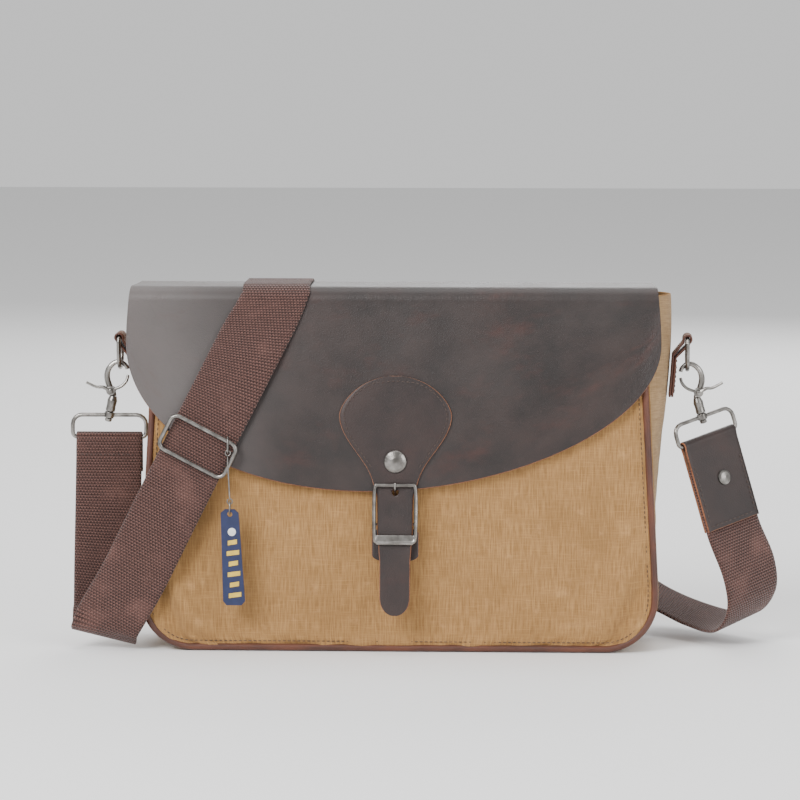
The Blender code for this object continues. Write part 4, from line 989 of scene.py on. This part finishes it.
def build_piping():
    """Leather-covered cord in the seams, and the stitches of its flange on the canvas beside it.
    """
    for name, side, node in (("front_cord", -1, "front_piping"), ("back_cord", 1, "back_piping")):
        path = [Vector((p.x, side * half_depth(p.y), p.y))
                for p, _ in outline_stations(0.0, BODY_HEIGHT - 0.0015)]
        path = resample(path, 0.0024)

        def size(share, side=side):
            return PIPING_RADIUS * (0.97 + 0.05 * ripple(share, 0, 90, 2.0 * side))

        cord = round_tube("piping_" + name, path, size, PIPING_SKIN, up=(0, side, 0))
        settle(cord, "bag", "piping_leather", node)
        run = []
        for p, out in outline_stations(-PIPING_RADIUS - 0.0022, BODY_HEIGHT - 0.004):
            y = side * (half_depth(p.y) + bulge(p.x, p.y) + CANVAS / 2 + 0.0004)
            run.append(((p.x, y, p.y), (0, side, 0)))
        sewn = stitches("piping_" + name + "_stitches", [run], DARK_THREAD, 0.0036, 0.0025,
                        0.00032)
        settle(sewn, "bag", "piping_leather")


def build_lining():
    rows, columns = 30, 96
    low, high = PIPING_Z + LINING_INSET, BODY_HEIGHT - 0.004

    def bucket(turn, z, inset):
        half_x = outline_half_width(z, -inset)
        half_y = half_depth(z) - inset
        cos, sin = math.cos(turn), math.sin(turn)
        x = math.copysign(abs(cos) ** 0.22, cos) * half_x
        y = math.copysign(abs(sin) ** 0.22, sin) * half_y
        return Vector((x, y, z))

    verts, uvs, faces = [], [], []
    for skin in (LINING_INSET + LINING / 2, LINING_INSET - LINING / 2):
        for j in range(rows + 1):
            z = lerp(low, high, (j / rows) ** 1.2)
            if skin < LINING_INSET and j == 0:
                z -= LINING
            for i in range(columns):
                turn = 2 * math.pi * i / columns
                p = bucket(turn, z, skin)
                soft = ripple(p.x + p.y, z, 26, 11.0) * 0.0012 + 0.0006
                inward = Vector((0, -math.copysign(1, p.y), 0)) if abs(p.y) > 0.01 else \
                    Vector((-math.copysign(1, p.x), 0, 0))
                p += inward * abs(soft) * smoothstep((high - z) / 0.03)
                verts.append(p)
                uvs.append((i * 0.0087, z))
    layer = columns * (rows + 1)
    for j in range(rows):
        for i in range(columns):
            a, b = j * columns + i, j * columns + (i + 1) % columns
            faces.append((b, a, a + columns, b + columns))
            faces.append((a + layer, b + layer, b + columns + layer, a + columns + layer))
    top = rows * columns
    for i in range(columns):
        a, b = top + i, top + (i + 1) % columns
        faces.append((b, a, a + layer, b + layer))
    faces.append(tuple(range(columns)))
    faces.append(tuple(layer + i for i in reversed(range(columns))))
    settle(new_object("cotton_lining", verts, faces, [LINING_CLOTH], None, uvs), "bag",
           "lining", "lining")

    def pocket(u, v):
        z = lerp(0.085, 0.205, v)
        stand = 0.0018 + 0.0040 * max(0.0, 1 - u * u) ** 0.5 * smoothstep(v * 3)
        stand += ripple(u * 0.085, z, 40, 6.0) * 0.0005 * (1 - u * u)
        return 0.085 * u, half_depth(z) - LINING_INSET - 0.0022 - stand, z

    grid = grid_of(pocket, 36, 28)
    settle(thick_sheet("slip_pocket", grid, LINING, [LINING_CLOTH] * 3, 1), "bag", "lining",
           "inner_pocket")
    side = 0.97
    across = [lerp(-side, side, k / 40) for k in range(41)]
    sewn_down = [(-side, 1 - k / 30) for k in range(31)] + [(u, 0.03) for u in across]
    sewn_down += [(side, k / 30) for k in range(31)]
    runs = [[(Vector(pocket(u, v)) - Vector((0, 0.0006, 0)), (0, -1, 0)) for u, v in line]
            for line in (sewn_down, [(u, 0.95) for u in across])]
    settle(stitches("pocket_stitches", runs, TAN_THREAD, 0.0036, 0.0026, 0.0003), "bag",
           "lining")


build_panel("canvas_front", -1, "front_panel")
build_panel("canvas_back", 1, "back_panel")
build_gusset()
build_piping()
build_lining()

# ---------------------------------------------------------------- flap


def strip_y(x, z):
    return max(HINGE_Y + LEATHER / 2, half_depth(z) + bulge(x, z) + 0.0021)


def build_flap():
    """One hide: sewn to the back, over the top and down the front to its curved edge."""
    strip_rows, bend_rows, rows, columns = 14, 5, 118, 120
    arc_start, arc_end = 0.16, 0.30  # shares of the front rows where the fold begins and ends
    hinge_gap = 0.0012

    def place(u, v):
        s = math.sin(math.pi / 2 * u)
        row = v * (strip_rows + bend_rows + rows)
        end = run_to_height(flap_edge_z(s))
        if row < strip_rows:
            z = lerp(HINGE_Z - BACK_STRIP_LENGTH, HINGE_Z - 0.0016, row / strip_rows)
            x = lerp(BACK_STRIP_HALF_WIDTH * u, BACK_STRIP_HALF_WIDTH * s, 0.5)
            return x, strip_y(x, z), z
        if row < strip_rows + bend_rows:
            turn = math.pi / 2 * (row - strip_rows + 1) / (bend_rows + 1)
            narrow = lerp(BACK_STRIP_HALF_WIDTH, FLAP_HALF_WIDTH * (1 - FLAP_TOP_NARROWING),
                          math.sin(turn))
            x = FLAP_CENTRE_X * math.sin(turn) + s * narrow
            back = strip_y(0, HINGE_Z)
            return (x, lerp(HINGE_Y - 0.001, back, math.cos(turn)),
                    lerp(HINGE_Z - 0.0016, FLAP_MID_Z, math.sin(turn)))
        share = (row - strip_rows - bend_rows) / rows
        if share < arc_start:
            run = lerp(hinge_gap, TOP_RUN, share / arc_start)
        elif share < arc_end:
            run = TOP_RUN + ARC_RUN * (share - arc_start) / (arc_end - arc_start)
        else:
            run = lerp(TOP_RUN + ARC_RUN, end, (share - arc_end) / (1 - arc_end))
        x = FLAP_CENTRE_X + s * FLAP_HALF_WIDTH * flap_width_share(run)
        free = smoothstep((run - TOP_RUN - ARC_RUN) / 0.05)
        middle = math.exp(-((x - TAB_X) / 0.05) ** 2)
        strap = math.exp(-((x - strap_x_at_run(run)) / 0.034) ** 4)
        soft = ripple(x, run, 11, 1.0) * 0.0011 * free * (1 - middle) * (1 - strap)
        return flap_surface(x, run, soft)

    grid = grid_of(place, columns, strip_rows + bend_rows + rows)
    hide = thick_sheet("flap_hide", grid, LEATHER, [FLAP_SKIN, RAW_EDGE, SUEDE], -1)
    for polygon in hide.data.polygons:
        if polygon.center.z > HINGE_Z - 0.002 or polygon.center.y > 0.02:
            if polygon.material_index == 1 and abs(polygon.center.x) < 0.16:
                polygon.material_index = 0
    declare(hide, "flap_leather", "flap", "flap_back_strip")
    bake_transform(hide)

    runs = []
    for z in (HINGE_Z - 0.006, HINGE_Z - BACK_STRIP_LENGTH + 0.004):
        runs.append([((lerp(-1, 1, k / 80) * (BACK_STRIP_HALF_WIDTH - 0.005),
                       strip_y(lerp(-1, 1, k / 80) * 0.165, z) + LEATHER / 2 + 0.0002, z),
                      (0, 1, 0)) for k in range(81)])
    settle(stitches("back_strip_stitches", runs, DARK_THREAD), "bag", "flap_leather")


def closure_point(x, down):
    return CLOSURE_PLACE @ Vector((x, TAB_LEATHER / 2, -down))


RIVET_CLEAR_Z = 0.1345  # the tab's stitches stop above the rivet


def cut_with(piece, cutter):
    """Cuts a helper solid out of a piece and removes the helper."""
    modifier = piece.modifiers.new("cut", "BOOLEAN")
    modifier.operation = "DIFFERENCE"
    modifier.solver = "EXACT"
    modifier.object = cutter
    applied(piece)
    bpy.data.objects.remove(cutter, do_unlink=True)


def build_closure_leather():
    """Keyhole tab and strap cut from one piece, sewn and riveted to the flap."""
    tab_rows, rows = 46, 64

    def place(u, v):
        row = v * (tab_rows + rows)
        if row <= tab_rows:
            share = row / tab_rows
            z = TAB_TOP_Z - (TAB_TOP_Z - CLOSURE_Z) * share**1.35
            x = TAB_X + u * tab_half_width(z)
            return flap_surface(x, run_to_height(z), TAB_LIFT)
        share = (row - tab_rows) / rows
        down = STRAP_LENGTH * (1 - (1 - share) ** 1.25)
        return closure_point(u * strap_half_width(down), down)

    grid = grid_of(place, 24, tab_rows + rows)
    piece = thick_sheet("closure_leather", grid, TAB_LEATHER, [TRIM_SKIN, RAW_EDGE, SUEDE], -1)
    hole = round_tube("hole_cutter", [CLOSURE_PLACE @ Vector((0, y, PRONG_HOLE_Z))
                                      for y in (-0.006, 0.008)], 0.0025, RAW_EDGE, sides=20)
    cut_with(piece, hole)
    declare(piece, "trim_leather", "closure_tab", "closure_strap")
    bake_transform(piece)

    inset = 0.0036
    half_run = []
    for k in range(61):
        share = k / 60
        z = lerp(TAB_TOP_Z - inset, RIVET_CLEAR_Z, share)
        up = min(1.0, (TAB_TOP_Z - z) / (TAB_TOP_Z - TAB_WIDEST_Z))
        narrow = inset * (0.35 + 0.65 * up)
        width = max(0.0, tab_half_width(z + inset * 0.6 * (1 - up)) - narrow)
        if k == 0:
            width = 0.0
        half_run.append((width, z))
    runs = []
    for side in (-1, 1):
        line = [flap_surface(TAB_X + side * width, run_to_height(z), TAB_LIFT + TAB_LEATHER / 2)
                for width, z in half_run]
        runs.append([(p, (0, -1, 0)) for p in resample(line, 0.0015)])
    settle(stitches("tab_stitches", runs, DARK_THREAD, 0.0036, 0.0026, 0.00046), "flap",
           "trim_leather")


def build_chape():
    path = [Vector((0, BAR_Y - CHAPE_WRAP, z)) for z in (-0.0455, -0.041, -0.036)]
    for angle in range(0, 181, 15):
        a = math.radians(angle)
        path.append(Vector((0, BAR_Y - CHAPE_WRAP * math.cos(a),
                            BAR_Z + CHAPE_WRAP * math.sin(a))))
    path.append(Vector((0, BAR_Y + CHAPE_WRAP, CHAPE_END_Z)))
    path = resample(path, 0.0010)
    turn_at = next(k for k, p in enumerate(path) if p.y > BAR_Y)
    length = len(path) - 1

    def place(u, v):
        k = round(v * length)
        p = path[k]
        if k < turn_at:
            half = 0.0118
        else:
            down = (BAR_Z - p.z) / (BAR_Z - CHAPE_END_Z)
            half = lerp(0.0118, 0.0172, smoothstep((down - 0.08) / 0.14))
            tip = max(0.0, (down - 0.80) / 0.20)
            half *= math.sqrt(max(0.30, 1 - tip**2.2))
        return CLOSURE_PLACE @ Vector((u * half, p.y, p.z))

    grid = grid_of(place, 20, length)
    piece = thick_sheet("chape_leather", grid, CHAPE_LEATHER, [TRIM_SKIN, RAW_EDGE, TRIM_SKIN],
                        1)
    corners = [(x, y, z) for x in (-0.0016, 0.0016) for y in (BAR_Y - 0.0044, BAR_Y + 0.0036)
               for z in (BAR_Z - 0.0040, BAR_Z + 0.0046)]
    bm = bmesh.new()
    made = [bm.verts.new(CLOSURE_PLACE @ Vector(c)) for c in corners]
    bmesh.ops.convex_hull(bm, input=made)
    mesh = bpy.data.meshes.new("slot_cutter")
    bm.to_mesh(mesh)
    bm.free()
    cutter = linked("slot_cutter", mesh)
    cut_with(piece, cutter)
    settle(piece, "closure", "trim_leather", "buckle_chape")


build_flap()
build_closure_leather()
build_chape()

# ---------------------------------------------------------------- shoulder strap


def ribbon_grid(stations, steps, columns=10):
    centres = spline_points([c for c, _ in stations], steps)
    halves = spline_points([h for _, h in stations], steps)
    return [[c + h * (2 * i / columns - 1) for i in range(columns + 1)]
            for c, h in zip(centres, halves)]


def upper_point(run, u, square, rise):
    """Point on the webbing that lies over the flap, lifted to clear it and the slider."""
    shift = u * WEBBING_WIDTH / 2 * math.sin(STRAP_ANGLE) * square
    wide = WEBBING_WIDTH / 2
    width = lerp(wide / math.cos(STRAP_ANGLE), wide * math.cos(STRAP_ANGLE), square)
    width = lerp(wide, width, strap_slant(run))
    x = strap_x_at_run(run) + u * width
    return flap_surface(x, run + shift, UPPER_LIFT + SLIDER_RISE * rise)


def rear_stations():
    """The rear webbing's middle and half-width, from the hinge corner to the end piece."""
    half = WEBBING_WIDTH / 2
    top_x = strap_x_at_run(0.0)
    top_half = Vector((half, 0, 0))
    lying = ((-0.050, 0.0440, 0.203, 0.85, 0.0, 0.50), (0.020, 0.0505, 0.150, 0.75, 0.0, 0.66),
             (0.092, 0.0530, 0.094, 0.66, 0.04, 0.71), (0.145, 0.0625, 0.052, 0.50, 0.35, 0.60),
             (0.186, 0.0680, 0.0290, 0.24, 0.93, 0.22),
             (0.222, 0.0440, 0.0160, 0.42, 0.84, 0.14),
             (0.248, 0.0130, 0.0160, 0.62, 0.72, 0.18),
             (0.2600, 0.0010, 0.0340, 0.74, 0.62, 0.24),
             (0.2580, -0.0010, 0.0580, 0.775, 0.57, 0.26))
    stations = [(Vector((top_x, HINGE_Y + LEATHER + 0.0014, HINGE_Z - 0.0012)), top_half),
                (Vector((top_x + 0.008, 0.0345, 0.247)), top_half)]
    stations += [(Vector(s[:3]), Vector(s[3:]).normalized() * half) for s in lying]
    across = (RIGHT_RING_PLACE.to_3x3() @ Vector((1, 0, 0))) * half
    stations += [(RIGHT_RING_PLACE @ Vector((0, 0, -drop)), across)
                 for drop in (0.0880, 0.0620, 0.0340)]
    return stations


def build_long_webbing():
    """One length of webbing from the slider, over the flap and down the back to the end."""
    first_run = run_to_height(JUNCTION.z) - 0.0002
    total = TOP_RUN + ARC_RUN
    columns, rows, split = 14, 110, 16
    front = []
    for k in range(rows + 1):
        run = lerp(first_run, 0.0016, k / rows)
        past = (run - total) / (run_to_height(JUNCTION.z) - total)
        v = 0.4 + 0.6 * past if past > 0 else 0.4 * run / total
        rise = smoothstep((v - 0.46) / 0.18)
        square = smoothstep((v - 0.40) / 0.5)
        front.append([upper_point(run, 2 * i / columns - 1, square, rise)
                      for i in range(columns + 1)])
    corner = []
    rear = ribbon_grid(rear_stations(), 12, columns)
    for k in range(1, 6):
        turn = math.pi / 2 * k / 6
        row = []
        for a, b in zip(front[-1], rear[1]):
            row.append(Vector((lerp(a.x, b.x, k / 6), lerp(a.y, b.y, math.sin(turn)),
                               lerp(b.z, a.z, math.cos(turn)))))
        corner.append(row)
    over = front + corner + rear[1:split + 1]
    webbing = thick_sheet("webbing_over_flap", over, WEBBING, [WEBBING_CLOTH] * 3, 1,
                          cut_end=True)
    declare(webbing, "webbing", "strap_upper")
    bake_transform(webbing)
    length = sum((b[columns // 2] - a[columns // 2]).length for a, b in zip(over, over[1:]))
    behind = thick_sheet("webbing_behind", rear[split:], WEBBING, [WEBBING_CLOTH] * 3, 1,
                         (0.0, length), cut_start=True)
    settle(behind, "bag", "webbing", "strap_rear")


def build_end_leather():
    """Leather end piece about the right ring's bar, with a stitched patch and a rivet."""
    legs = WEBBING / 2 + 0.0003 + TAB_LEATHER / 2
    radius = RING_WIRE + 0.0004 + TAB_LEATHER / 2
    path = [Vector((0, -legs, lerp(-0.066, -radius * 1.6, k / 8))) for k in range(9)]
    path += [Vector((0, -radius * math.cos(a), radius * math.sin(a)))
             for a in [math.pi * k / 12 for k in range(13)]]
    path += [Vector((0, legs, lerp(-radius * 1.6, -0.066, k / 8))) for k in range(9)]
    path = resample(path, 0.0015)
    length = len(path) - 1

    def place(u, v):
        p = path[round(v * length)]
        return END_PLACE @ Vector((u * WEBBING_WIDTH / 2, p.y, p.z))

    grid = grid_of(place, 16, length)
    piece = thick_sheet("end_leather", grid, TAB_LEATHER, [TRIM_SKIN, RAW_EDGE, SUEDE], 1)
    settle(piece, "bag", "trim_leather", "strap_end_leather")
    face = legs + TAB_LEATHER / 2 + 0.00015
    edge = WEBBING_WIDTH / 2 - 0.0032
    for side in (-1, 1):
        turn = END_PLACE.to_3x3()
        frame_points = [(-edge, -0.016), (-edge, -0.0625), (edge, -0.0625), (edge, -0.016)]
        runs = []
        for (ax, az), (bx, bz) in zip(frame_points, frame_points[1:]):
            runs.append([(END_PLACE @ Vector((lerp(ax, bx, k / 20), side * face,
                                              lerp(az, bz, k / 20))),
                          turn @ Vector((0, side, 0))) for k in range(21)])
        sewn = stitches(f"end_stitches_{'back' if side > 0 else 'front'}", runs, DARK_THREAD,
                        0.0040, 0.0029, 0.00044)
        settle(sewn, "bag", "trim_leather")


def build_front_loop():
    """Webbing from the left ring down, folded under and up to the slider, in one length."""
    half = WEBBING_WIDTH / 2
    level = Vector((half, 0, 0))
    fold = Vector((math.cos(STRAP_ANGLE / 2), 0, -math.sin(STRAP_ANGLE / 2))) * half
    lean = Vector((math.cos(STRAP_ANGLE), math.tan(SLIDER_TURN), -math.sin(STRAP_ANGLE))) * half
    bar = RING_WIRE + 0.0005 + WEBBING / 2
    drop_x = FOLD_BOTTOM.x - LEFT_BAR.x
    low = FOLD_BOTTOM - LEFT_BAR
    stations = [(Vector((0, bar, -0.026)), level), (Vector((0, bar, -0.014)), level),
                (Vector((0, bar, -0.004)), level)]
    for angle in range(150, -31, -30):
        a = math.radians(angle)
        stations.append((Vector((0, -bar * math.cos(a), bar * math.sin(a))), level))
    for t in (0.06, 0.14, 0.3, 0.5, 0.7, 0.86):
        y = lerp(-bar, low.y * 0.62, smoothstep(t))
        stations.append((Vector((drop_x * t, y, low.z * t)), level.lerp(fold, t**2)))
    stations = [(LEFT_BAR + c, h) for c, h in stations]
    top = JUNCTION - FOLD_BOTTOM
    top -= Vector((math.sin(STRAP_ANGLE), 0, math.cos(STRAP_ANGLE))) * 0.0012
    rise = [(Vector((0, 0.0085, 0.0135)), fold), (Vector((0, 0.0050, 0.0040)), fold),
            (Vector((0, 0.0, 0.0012)), fold), (Vector((0.0008, -0.0062, 0.0055)), fold),
            (Vector((0.005, -0.0088, 0.0150)), lean),
            (Vector((top.x * 0.35, -0.0105, top.z * 0.35)), lean),
            (Vector((top.x * 0.7, top.y * 0.9 - 0.002, top.z * 0.7)), lean), (top, lean)]
    stations += [(FOLD_BOTTOM + c, h) for c, h in rise]
    grid = ribbon_grid(stations, 8, 14)
    webbing = thick_sheet("loop_webbing", grid, WEBBING, [WEBBING_CLOTH] * 3, 1, (0.0, 0.5))
    declare(webbing, "webbing", "strap_front_drop", "strap_front_rise")
    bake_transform(webbing)
    rows = []
    for drop in (0.0125, 0.0165):
        rows.append([(LEFT_BAR + Vector((lerp(-1, 1, k / 20) * (half - 0.003),
                                         -bar - WEBBING / 2 - 0.0001, -drop)), (0, -1, 0))
                     for k in range(21)])
    settle(stitches("webbing_bar_stitches", rows, DARK_THREAD, 0.0034, 0.0025, 0.00040),
           "strap_drop", "webbing")


build_long_webbing()
build_end_leather()
build_front_loop()

# ---------------------------------------------------------------- loop tabs


def build_loop_tab(side, loop_x, sign):
    fold = DRING_WIRE + 0.0004 + LOOP_LEATHER / 2

    def wall_x(z):
        return seam_half_width(z) + SHELL_OUTSET + gusset_bulge(sign, z) + CANVAS / 2 + 0.0006

    bar_x = abs(loop_x)
    inner = 0.0003 + LOOP_LEATHER / 2
    outer = inner + LOOP_LEATHER + 0.0003
    low_z = 0.186 if sign > 0 else 0.192
    path = [(wall_x(z) + inner, z) for z in (low_z, lerp(low_z, 0.2170, 0.5), 0.2170)]
    path.append((bar_x - fold * 1.02, TAB_LOOP_Z - 0.0022))
    for angle in range(180, -31, -15):
        a = math.radians(angle)
        path.append((bar_x + fold * math.cos(a), TAB_LOOP_Z + fold * math.sin(a)))
    path.append((bar_x - 0.0005, TAB_LOOP_Z - fold - 0.0022))
    path += [(wall_x(z) + outer, z) for z in (0.2150, lerp(low_z, 0.2150, 0.5), low_z)]
    points = resample([Vector((sign * x, 0, z)) for x, z in path], 0.0011)
    length = len(points) - 1

    def place(u, v):
        p = points[round(v * length)]
        return p.x, u * 0.0098, p.z

    grid = grid_of(place, 10, length)
    piece = thick_sheet(f"loop_leather_{side}", grid, LOOP_LEATHER,
                        [PIPING_SKIN, PIPING_SKIN, SUEDE], sign)
    settle(piece, "bag", "piping_leather", f"{side}_loop_tab")
    runs = []
    for low, high, y in ((low_z + 0.003, 0.2120, -0.0072), (low_z + 0.003, 0.2120, 0.0072)):
        runs.append([((sign * (wall_x(lerp(low, high, k / 12)) + outer + LOOP_LEATHER / 2
                               + 0.0002), y, lerp(low, high, k / 12)), (sign, 0, 0))
                     for k in range(13)])
    for z in (low_z + 0.003, 0.2120):
        x = sign * (wall_x(z) + outer + LOOP_LEATHER / 2 + 0.0002)
        runs.append([((x, lerp(-0.0072, 0.0072, k / 8), z), (sign, 0, 0)) for k in range(9)])
    settle(stitches(f"loop_stitches_{side}", runs, DARK_THREAD, 0.0034, 0.0025, 0.00036), "bag",
           "piping_leather")


build_loop_tab("left", LEFT_LOOP_X, -1)
build_loop_tab("right", RIGHT_LOOP_X, 1)

# ---------------------------------------------------------------- metal

METAL = {
    "left_ring": ("bag", 0.00036), "right_ring": ("bag", 0.00036),
    "left_dring": ("left_dring", 0.00036), "right_dring": ("right_dring", 0.00036),
    "left_hook": ("left_hook", 0.00030), "right_hook": ("right_hook", 0.00030),
    "left_hook_pin": ("left_hook", 0.00020), "right_hook_pin": ("right_hook", 0.00020),
    "left_lever": ("left_lever", 0.00026), "right_lever": ("right_lever", 0.00026),
    "slider_frame": ("slider", 0.00040), "tag_split_ring": ("slider", 0.00018),
    "tag_rod": ("tag", 0.00018), "tag_jump_ring": ("tag", 0.00016),
    "buckle_frame": ("closure", 0.00032), "buckle_prong": ("closure", 0.00022),
}


def cast_copy(node, body, cell):
    """The node's shape as one soft-edged casting."""
    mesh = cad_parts[node].data.copy()
    bm = bmesh.new()
    bm.from_mesh(mesh)
    bmesh.ops.remove_doubles(bm, verts=bm.verts, dist=0.00001)
    bm.to_mesh(mesh)
    bm.free()
    obj = linked("cast_" + node, mesh)
    remesh = obj.modifiers.new("remesh", "REMESH")
    remesh.mode = "VOXEL"
    remesh.voxel_size = cell
    soften = obj.modifiers.new("soften", "SMOOTH")
    soften.factor = 0.5
    soften.iterations = 4
    applied(obj)
    reskin(obj, NICKEL)
    obj.data.shade_smooth()
    settle(obj, body, "antique_nickel", node)


def reskin(obj, material):
    obj.data.materials.clear()
    obj.data.materials.append(material)


def build_metal():
    for node, (body, cell) in METAL.items():
        cast_copy(node, body, cell)
    for node in ("tab_rivet_cap", "tab_rivet_back", "strap_end_rivet", "snap_stud",
                 "snap_socket", "snap_washer"):
        reskin(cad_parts[node], NICKEL)


build_metal()

# ---------------------------------------------------------------- hang tag


def raised_shape(name, outline, base, height, material):
    """A raised shape on the tag's face, with softened upper edges."""
    count = len(outline)
    centre = sum((Vector((x, z)) for x, z in outline), Vector((0, 0))) / count
    verts, faces = [], []
    for inset, depth in ((0.0, 0.0), (0.0, height * 0.6), (0.12, height)):
        for x, z in outline:
            p = Vector((x, z)).lerp(centre, inset * 0.35)
            verts.append(Vector((p.x, base - depth, p.y)))
    for ring in range(2):
        for k in range(count):
            a, b = ring * count + k, ring * count + (k + 1) % count
            faces.append((a, b, b + count, a + count))
    faces.append(tuple(2 * count + k for k in range(count)))
    faces.append(tuple(reversed(range(count))))
    obj = new_object(name, verts, faces, [material])
    bm = bmesh.new()
    bm.from_mesh(obj.data)
    bmesh.ops.recalc_face_normals(bm, faces=bm.faces)
    bm.to_mesh(obj.data)
    bm.free()
    obj.data.set_sharp_from_angle(angle=math.radians(50))
    return obj


def build_tag():
    """Plain navy rubber tag with one raised dot and six raised stripes, and no letters."""
    low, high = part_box("hang_tag")
    reskin(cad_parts["hang_tag"], NAVY)
    front = low.y
    middle = (low.x + high.x) / 2
    rows = 7
    for k in range(rows):
        z = lerp(high.z - 0.0165, low.z + 0.0075, k / (rows - 1))
        slide = lerp(-0.0006, 0.0016, k / (rows - 1))
        half = 0.0034 if k % 2 else 0.0046
        if k == 0:
            outline = [(middle + slide + 0.0030 * math.cos(a), z + 0.0030 * math.sin(a))
                       for a in [2 * math.pi * t / 24 for t in range(24)]]
            shape = raised_shape("tag_dot", outline, front, 0.0005, WHITE)
        else:
            outline = [(middle + slide - half, z - 0.0022), (middle + slide + half, z - 0.0010),
                       (middle + slide + half, z + 0.0024), (middle + slide - half, z + 0.0012)]
            shape = raised_shape(f"tag_stripe_{k}", outline, front, 0.0005, YELLOW)
        settle(shape, "tag", "tag_rubber")


build_tag()
